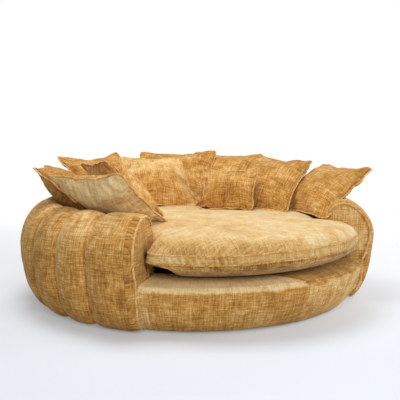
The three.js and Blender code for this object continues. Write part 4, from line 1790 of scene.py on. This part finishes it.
    def puckered(self, place: ScatterPlace, a: float, b: float, side: float) -> float:
        """Short folds that run in from the sewn rim, and broad dents of handling.

        Args:
            place: Where the cushion stands.
            a: Share across, from -1 to 1.
            b: Share upward, from -1 to 1.
            side: 1 on the front and -1 on the back.

        Returns:
            How far the cloth stands out.
        """
        half = self.size_of(place)[0] / 2
        inside = (1 - max(abs(a), abs(b))) * half
        along = (b if abs(a) > abs(b) else a) * half
        rim = 4 * (abs(a) > abs(b)) + (a > 0) + 2 * (b > 0)
        fold = ripple(along / 0.021 + inside * 6, place.seed * 1.3 + rim * 2.1 + side)
        held = ease(0.5 + 0.8 * ripple(along / 0.09, place.seed + rim))
        near = self.puckers.left(inside)
        dent = noise.noise(Vector((a * 1.3, b * 1.3, place.seed * 1.7 + side)))
        return self.puckers.depth * fold * near * held + self.handled_dent * dent * ease(inside / 0.09)

    @staticmethod
    def pulled(place: ScatterPlace, a: float, b: float) -> Vector:
        """How far the corners' pulls move a point.

        Args:
            place: Where the cushion stands.
            a: Share across, from -1 to 1.
            b: Share upward, from -1 to 1.

        Returns:
            The move in the cushion's own directions.
        """
        weights = ((1 - a) * (1 + b), (1 + a) * (1 + b), (1 + a) * (1 - b), (1 - a) * (1 - b))
        return sum((Vector(pull) * weight / 4 for weight, pull in zip(weights, place.pulls)), Vector())

    def wavering(self, place: ScatterPlace, a: float, b: float) -> Vector:
        """Soft waves of the sewn rim, which never runs quite straight.

        Args:
            place: Where the cushion stands.
            a: Share across, from -1 to 1.
            b: Share upward, from -1 to 1.

        Returns:
            The move in the cushion's own directions.
        """
        near = ease((max(abs(a), abs(b)) - 0.78) / 0.22)
        sideways = noise.noise(Vector((a * 3.1, b * 3.1, place.seed * 1.9)))
        inward = noise.noise(Vector((a * 3.6, b * 3.6, place.seed * 2.7 + 5)))
        away = Vector((a, b, 0)).normalized() if near else Vector()
        drawn = away * (self.rim_inset + self.rim_wander * inward)
        return near * (Vector((0, 0, self.rim_wave * sideways)) - drawn)

    def press(self, mesh: bmesh.types.BMesh) -> None:
        """Push points out of what the cushion leans on, and smooth the dented cloth.

        Args:
            mesh: The cushion in its place.
        """
        for turn in range(self.rounds):
            pushed = set()
            for vert in mesh.verts:
                for tree in self.trees:
                    near, normal, _, distance = tree.find_nearest(vert.co, self.reach)
                    if near and ((vert.co - near).dot(normal) < 0 or distance < self.gap):
                        vert.co = near + normal * self.gap
                        pushed.add(vert)
            if turn < self.rounds - 1 and pushed:
                dented = list({other for vert in pushed for edge in vert.link_edges for other in edge.verts})
                bmesh.ops.smooth_vert(
                    mesh, verts=dented, factor=0.5, use_axis_x=True, use_axis_y=True, use_axis_z=True
                )

    @staticmethod
    def rim(mesh: bmesh.types.BMesh) -> list[Vector]:
        """Line of the seam round the cushion.

        Args:
            mesh: The finished cushion.

        Returns:
            The points in order round the seam.
        """
        across, upward = (mesh.verts.layers.float[name] for name in ("across", "upward"))
        found: dict[tuple[float, float], list[Vector]] = {}
        for vert in mesh.verts:
            a, b = round(vert[across], 5), round(vert[upward], 5)
            if max(abs(a), abs(b)) > 0.9999:
                found.setdefault((a, b), []).append(vert.co.copy())

        def order(key: tuple[float, float]) -> float:
            """Place round the square."""
            a, b = key
            if b > 0.9999:
                return 1 + a
            if a > 0.9999:
                return 3 - b
            if b < -0.9999:
                return 5 - a
            return 7 + b

        return [sum(found[key], Vector()) / len(found[key]) for key in sorted(found, key=order)]


# Frame pieces


@dataclass
class Underframe:
    """Finishes of the timber frame, the deck, the feet and the zip."""

    board: Grain = Grain("plywood", linear(150, 116, 76), linear(206, 172, 122), (3.0, 3.0, 240.0), 0.75)
    timber: Grain = Grain("softwood", linear(176, 132, 82), linear(222, 184, 132), (4.0, 4.0, 40.0))
    feet: Grain = Grain("stained_foot", linear(38, 22, 14), linear(78, 47, 30), (18.0, 18.0, 60.0), 0.38)
    foam: Speckle = Speckle("foam", FOAM_DARK, FOAM_LIGHT)
    dark: Speckle = Speckle("lining_cloth", linear(24, 22, 20), linear(58, 54, 50), 900.0, 0.95, 0.0005)
    webbing: Woven = Woven("webbing", linear(26, 23, 21), linear(74, 66, 58))
    tape: Woven = Woven("zip_tape", linear(120, 84, 38), linear(182, 140, 76), 0.0025)

    def build(self) -> None:
        """Dress every solid that stays."""
        finishes = {
            Slot.BOARD: self.board.build(), Slot.TIMBER: self.timber.build(), Slot.FOOT: self.feet.build(),
            Slot.FOAM: self.foam.build(), Slot.DARK_CLOTH: self.dark.build(),
            Slot.WEBBING: self.webbing.build(), Slot.ZIP: self.tape.build(),
        }
        slots = {row["node"]: row["material_slot"] for row in frame["record"]["subparts"]}
        for name, node in frame["nodes"].items():
            found = finishes.get(Slot(slots[name]))
            if found:
                node.data.materials.clear()
                node.data.materials.append(found)


# Studio


@dataclass
class Studio:
    """Pale floor, soft lamps and the camera."""

    distance: float = 3.338
    turn: float = -28.7
    height: float = 0.822
    lens: float = 57.24
    pitch: float = 5.78
    aside: float = 0.33
    sensor: float = 36.0
    aim_height: float = 0.3
    floor_half: float = 30.0
    least_white: float = 0.22
    fade: tuple[float, float] = (-0.8, 2.2)
    fade_away: tuple[float, float] = (2.2, 7.0)
    fade_direction: tuple[float, float, float] = (0.66, 0.75, 0.0)
    paper_colour: Colour = (0.71, 0.75, 0.81)
    sky_colour: Colour = (0.95, 0.97, 1.0)
    sky_strength: float = 0.24
    lamps: tuple[tuple[str, tuple[float, float, float], float, float], ...] = (
        ("key", (-1.5, -4.0, 2.2), 1.8, 86.0), ("overhead", (-0.5, 0.2, 3.5), 1.7, 84.0),
        ("right_back", (3.4, 1.4, 1.9), 1.6, 44.0), ("right", (3.1, -1.9, 1.2), 1.2, 38.0),
    )

    def build(self) -> None:
        """Make the floor, the world, the lamps and the camera."""
        self.floor()
        self.world()
        for name, place, size, power in self.lamps:
            self.lamp(name, Vector(place), size, power)
        self.camera()

    def floor(self) -> None:
        """A pale floor that fades to white far away."""
        mesh = bmesh.new()
        bmesh.ops.create_grid(mesh, x_segments=1, y_segments=1, size=self.floor_half)
        data = bpy.data.meshes.new("floor")
        mesh.to_mesh(data)
        mesh.free()
        floor = bpy.data.objects.new("floor", data)
        bpy.context.scene.collection.objects.link(floor)
        sketch = Sketch("floor_paper")
        place = sketch.node("TexCoord").outputs["Object"]
        along = sketch.node("VectorMath", operation="DOT_PRODUCT", i0=place, i1=self.fade_direction)
        away = sketch.node("VectorMath", operation="LENGTH", i0=place)
        shares = (
            sketch.node("MapRange", i0=node.outputs["Value"], i1=low, i2=high, i3=self.least_white, i4=1.0)
            for node, (low, high) in ((along, self.fade), (away, self.fade_away))
        )
        white_share = sketch.math("MAXIMUM", *(share.outputs[0] for share in shares))
        paper = sketch.node("BsdfDiffuse", Color=(*self.paper_colour, 1)).outputs[0]
        white = sketch.node("Emission", Color=(1, 1, 1, 1), Strength=1.0).outputs[0]
        camera = sketch.node("LightPath").outputs["Is Camera Ray"]
        seen = sketch.math("MULTIPLY", white_share, camera)
        mixed = sketch.node("MixShader", i0=seen, i1=paper, i2=white).outputs[0]
        data.materials.append(sketch.finish(mixed))

    def world(self) -> None:
        """A white background for the camera and softer light for the object."""
        world = bpy.data.worlds.new("studio")
        bpy.context.scene.world = world
        world.use_nodes = True
        tree = world.node_tree
        tree.nodes.clear()
        mix = tree.nodes.new("ShaderNodeMixShader")
        tree.links.new(tree.nodes.new("ShaderNodeLightPath").outputs["Is Camera Ray"], mix.inputs[0])
        skies = ((self.sky_colour, self.sky_strength), ((1.0, 1.0, 1.0), 1.0))
        for number, (colour, strength) in enumerate(skies, 1):
            sky = tree.nodes.new("ShaderNodeBackground")
            sky.inputs["Color"].default_value = (*colour, 1)
            sky.inputs["Strength"].default_value = strength
            tree.links.new(sky.outputs[0], mix.inputs[number])
        tree.links.new(mix.outputs[0], tree.nodes.new("ShaderNodeOutputWorld").inputs["Surface"])
        bpy.context.scene.view_settings.view_transform = "Standard"

    def lamp(self, name: str, place: Vector, size: float, power: float) -> None:
        """A square soft lamp that looks at the seat.

        Args:
            name: Name of the lamp.
            place: Where it hangs.
            size: Its side.
            power: Its power in watts.
        """
        data = bpy.data.lights.new(name, "AREA")
        data.shape, data.size, data.energy = "SQUARE", size, power
        lamp = bpy.data.objects.new(name, data)
        lamp.location = place
        aim = Vector((0, 0, self.aim_height)) - place
        lamp.rotation_euler = aim.to_track_quat("-Z", "Y").to_euler()
        bpy.context.scene.collection.objects.link(lamp)

    def camera(self) -> None:
        """The camera at the photograph's place."""
        data = bpy.data.cameras.new("camera")
        data.lens, data.sensor_width = self.lens, self.sensor
        camera = bpy.data.objects.new("camera", data)
        camera.location = plan_point(self.turn, self.distance, self.height)
        camera.rotation_euler = (math.radians(90 - self.pitch), 0, math.radians(self.turn - self.aside))
        bpy.context.scene.collection.objects.link(camera)
        bpy.context.scene.camera = camera


def write_sizes() -> None:
    """Update the view layer."""
    bpy.context.view_layer.update()


def main() -> None:
    """Build the chair piece by piece."""
    logging.basicConfig(level=logging.INFO, format="%(name)s %(message)s")
    Studio().build()
    Underframe().build()
    WrapRoundArm().build()
    FrontRail().build()
    seat = SeatCushion().build()
    ScatterCushions().build(seat)
    write_sizes()


if __name__ == "__main__":
    main()
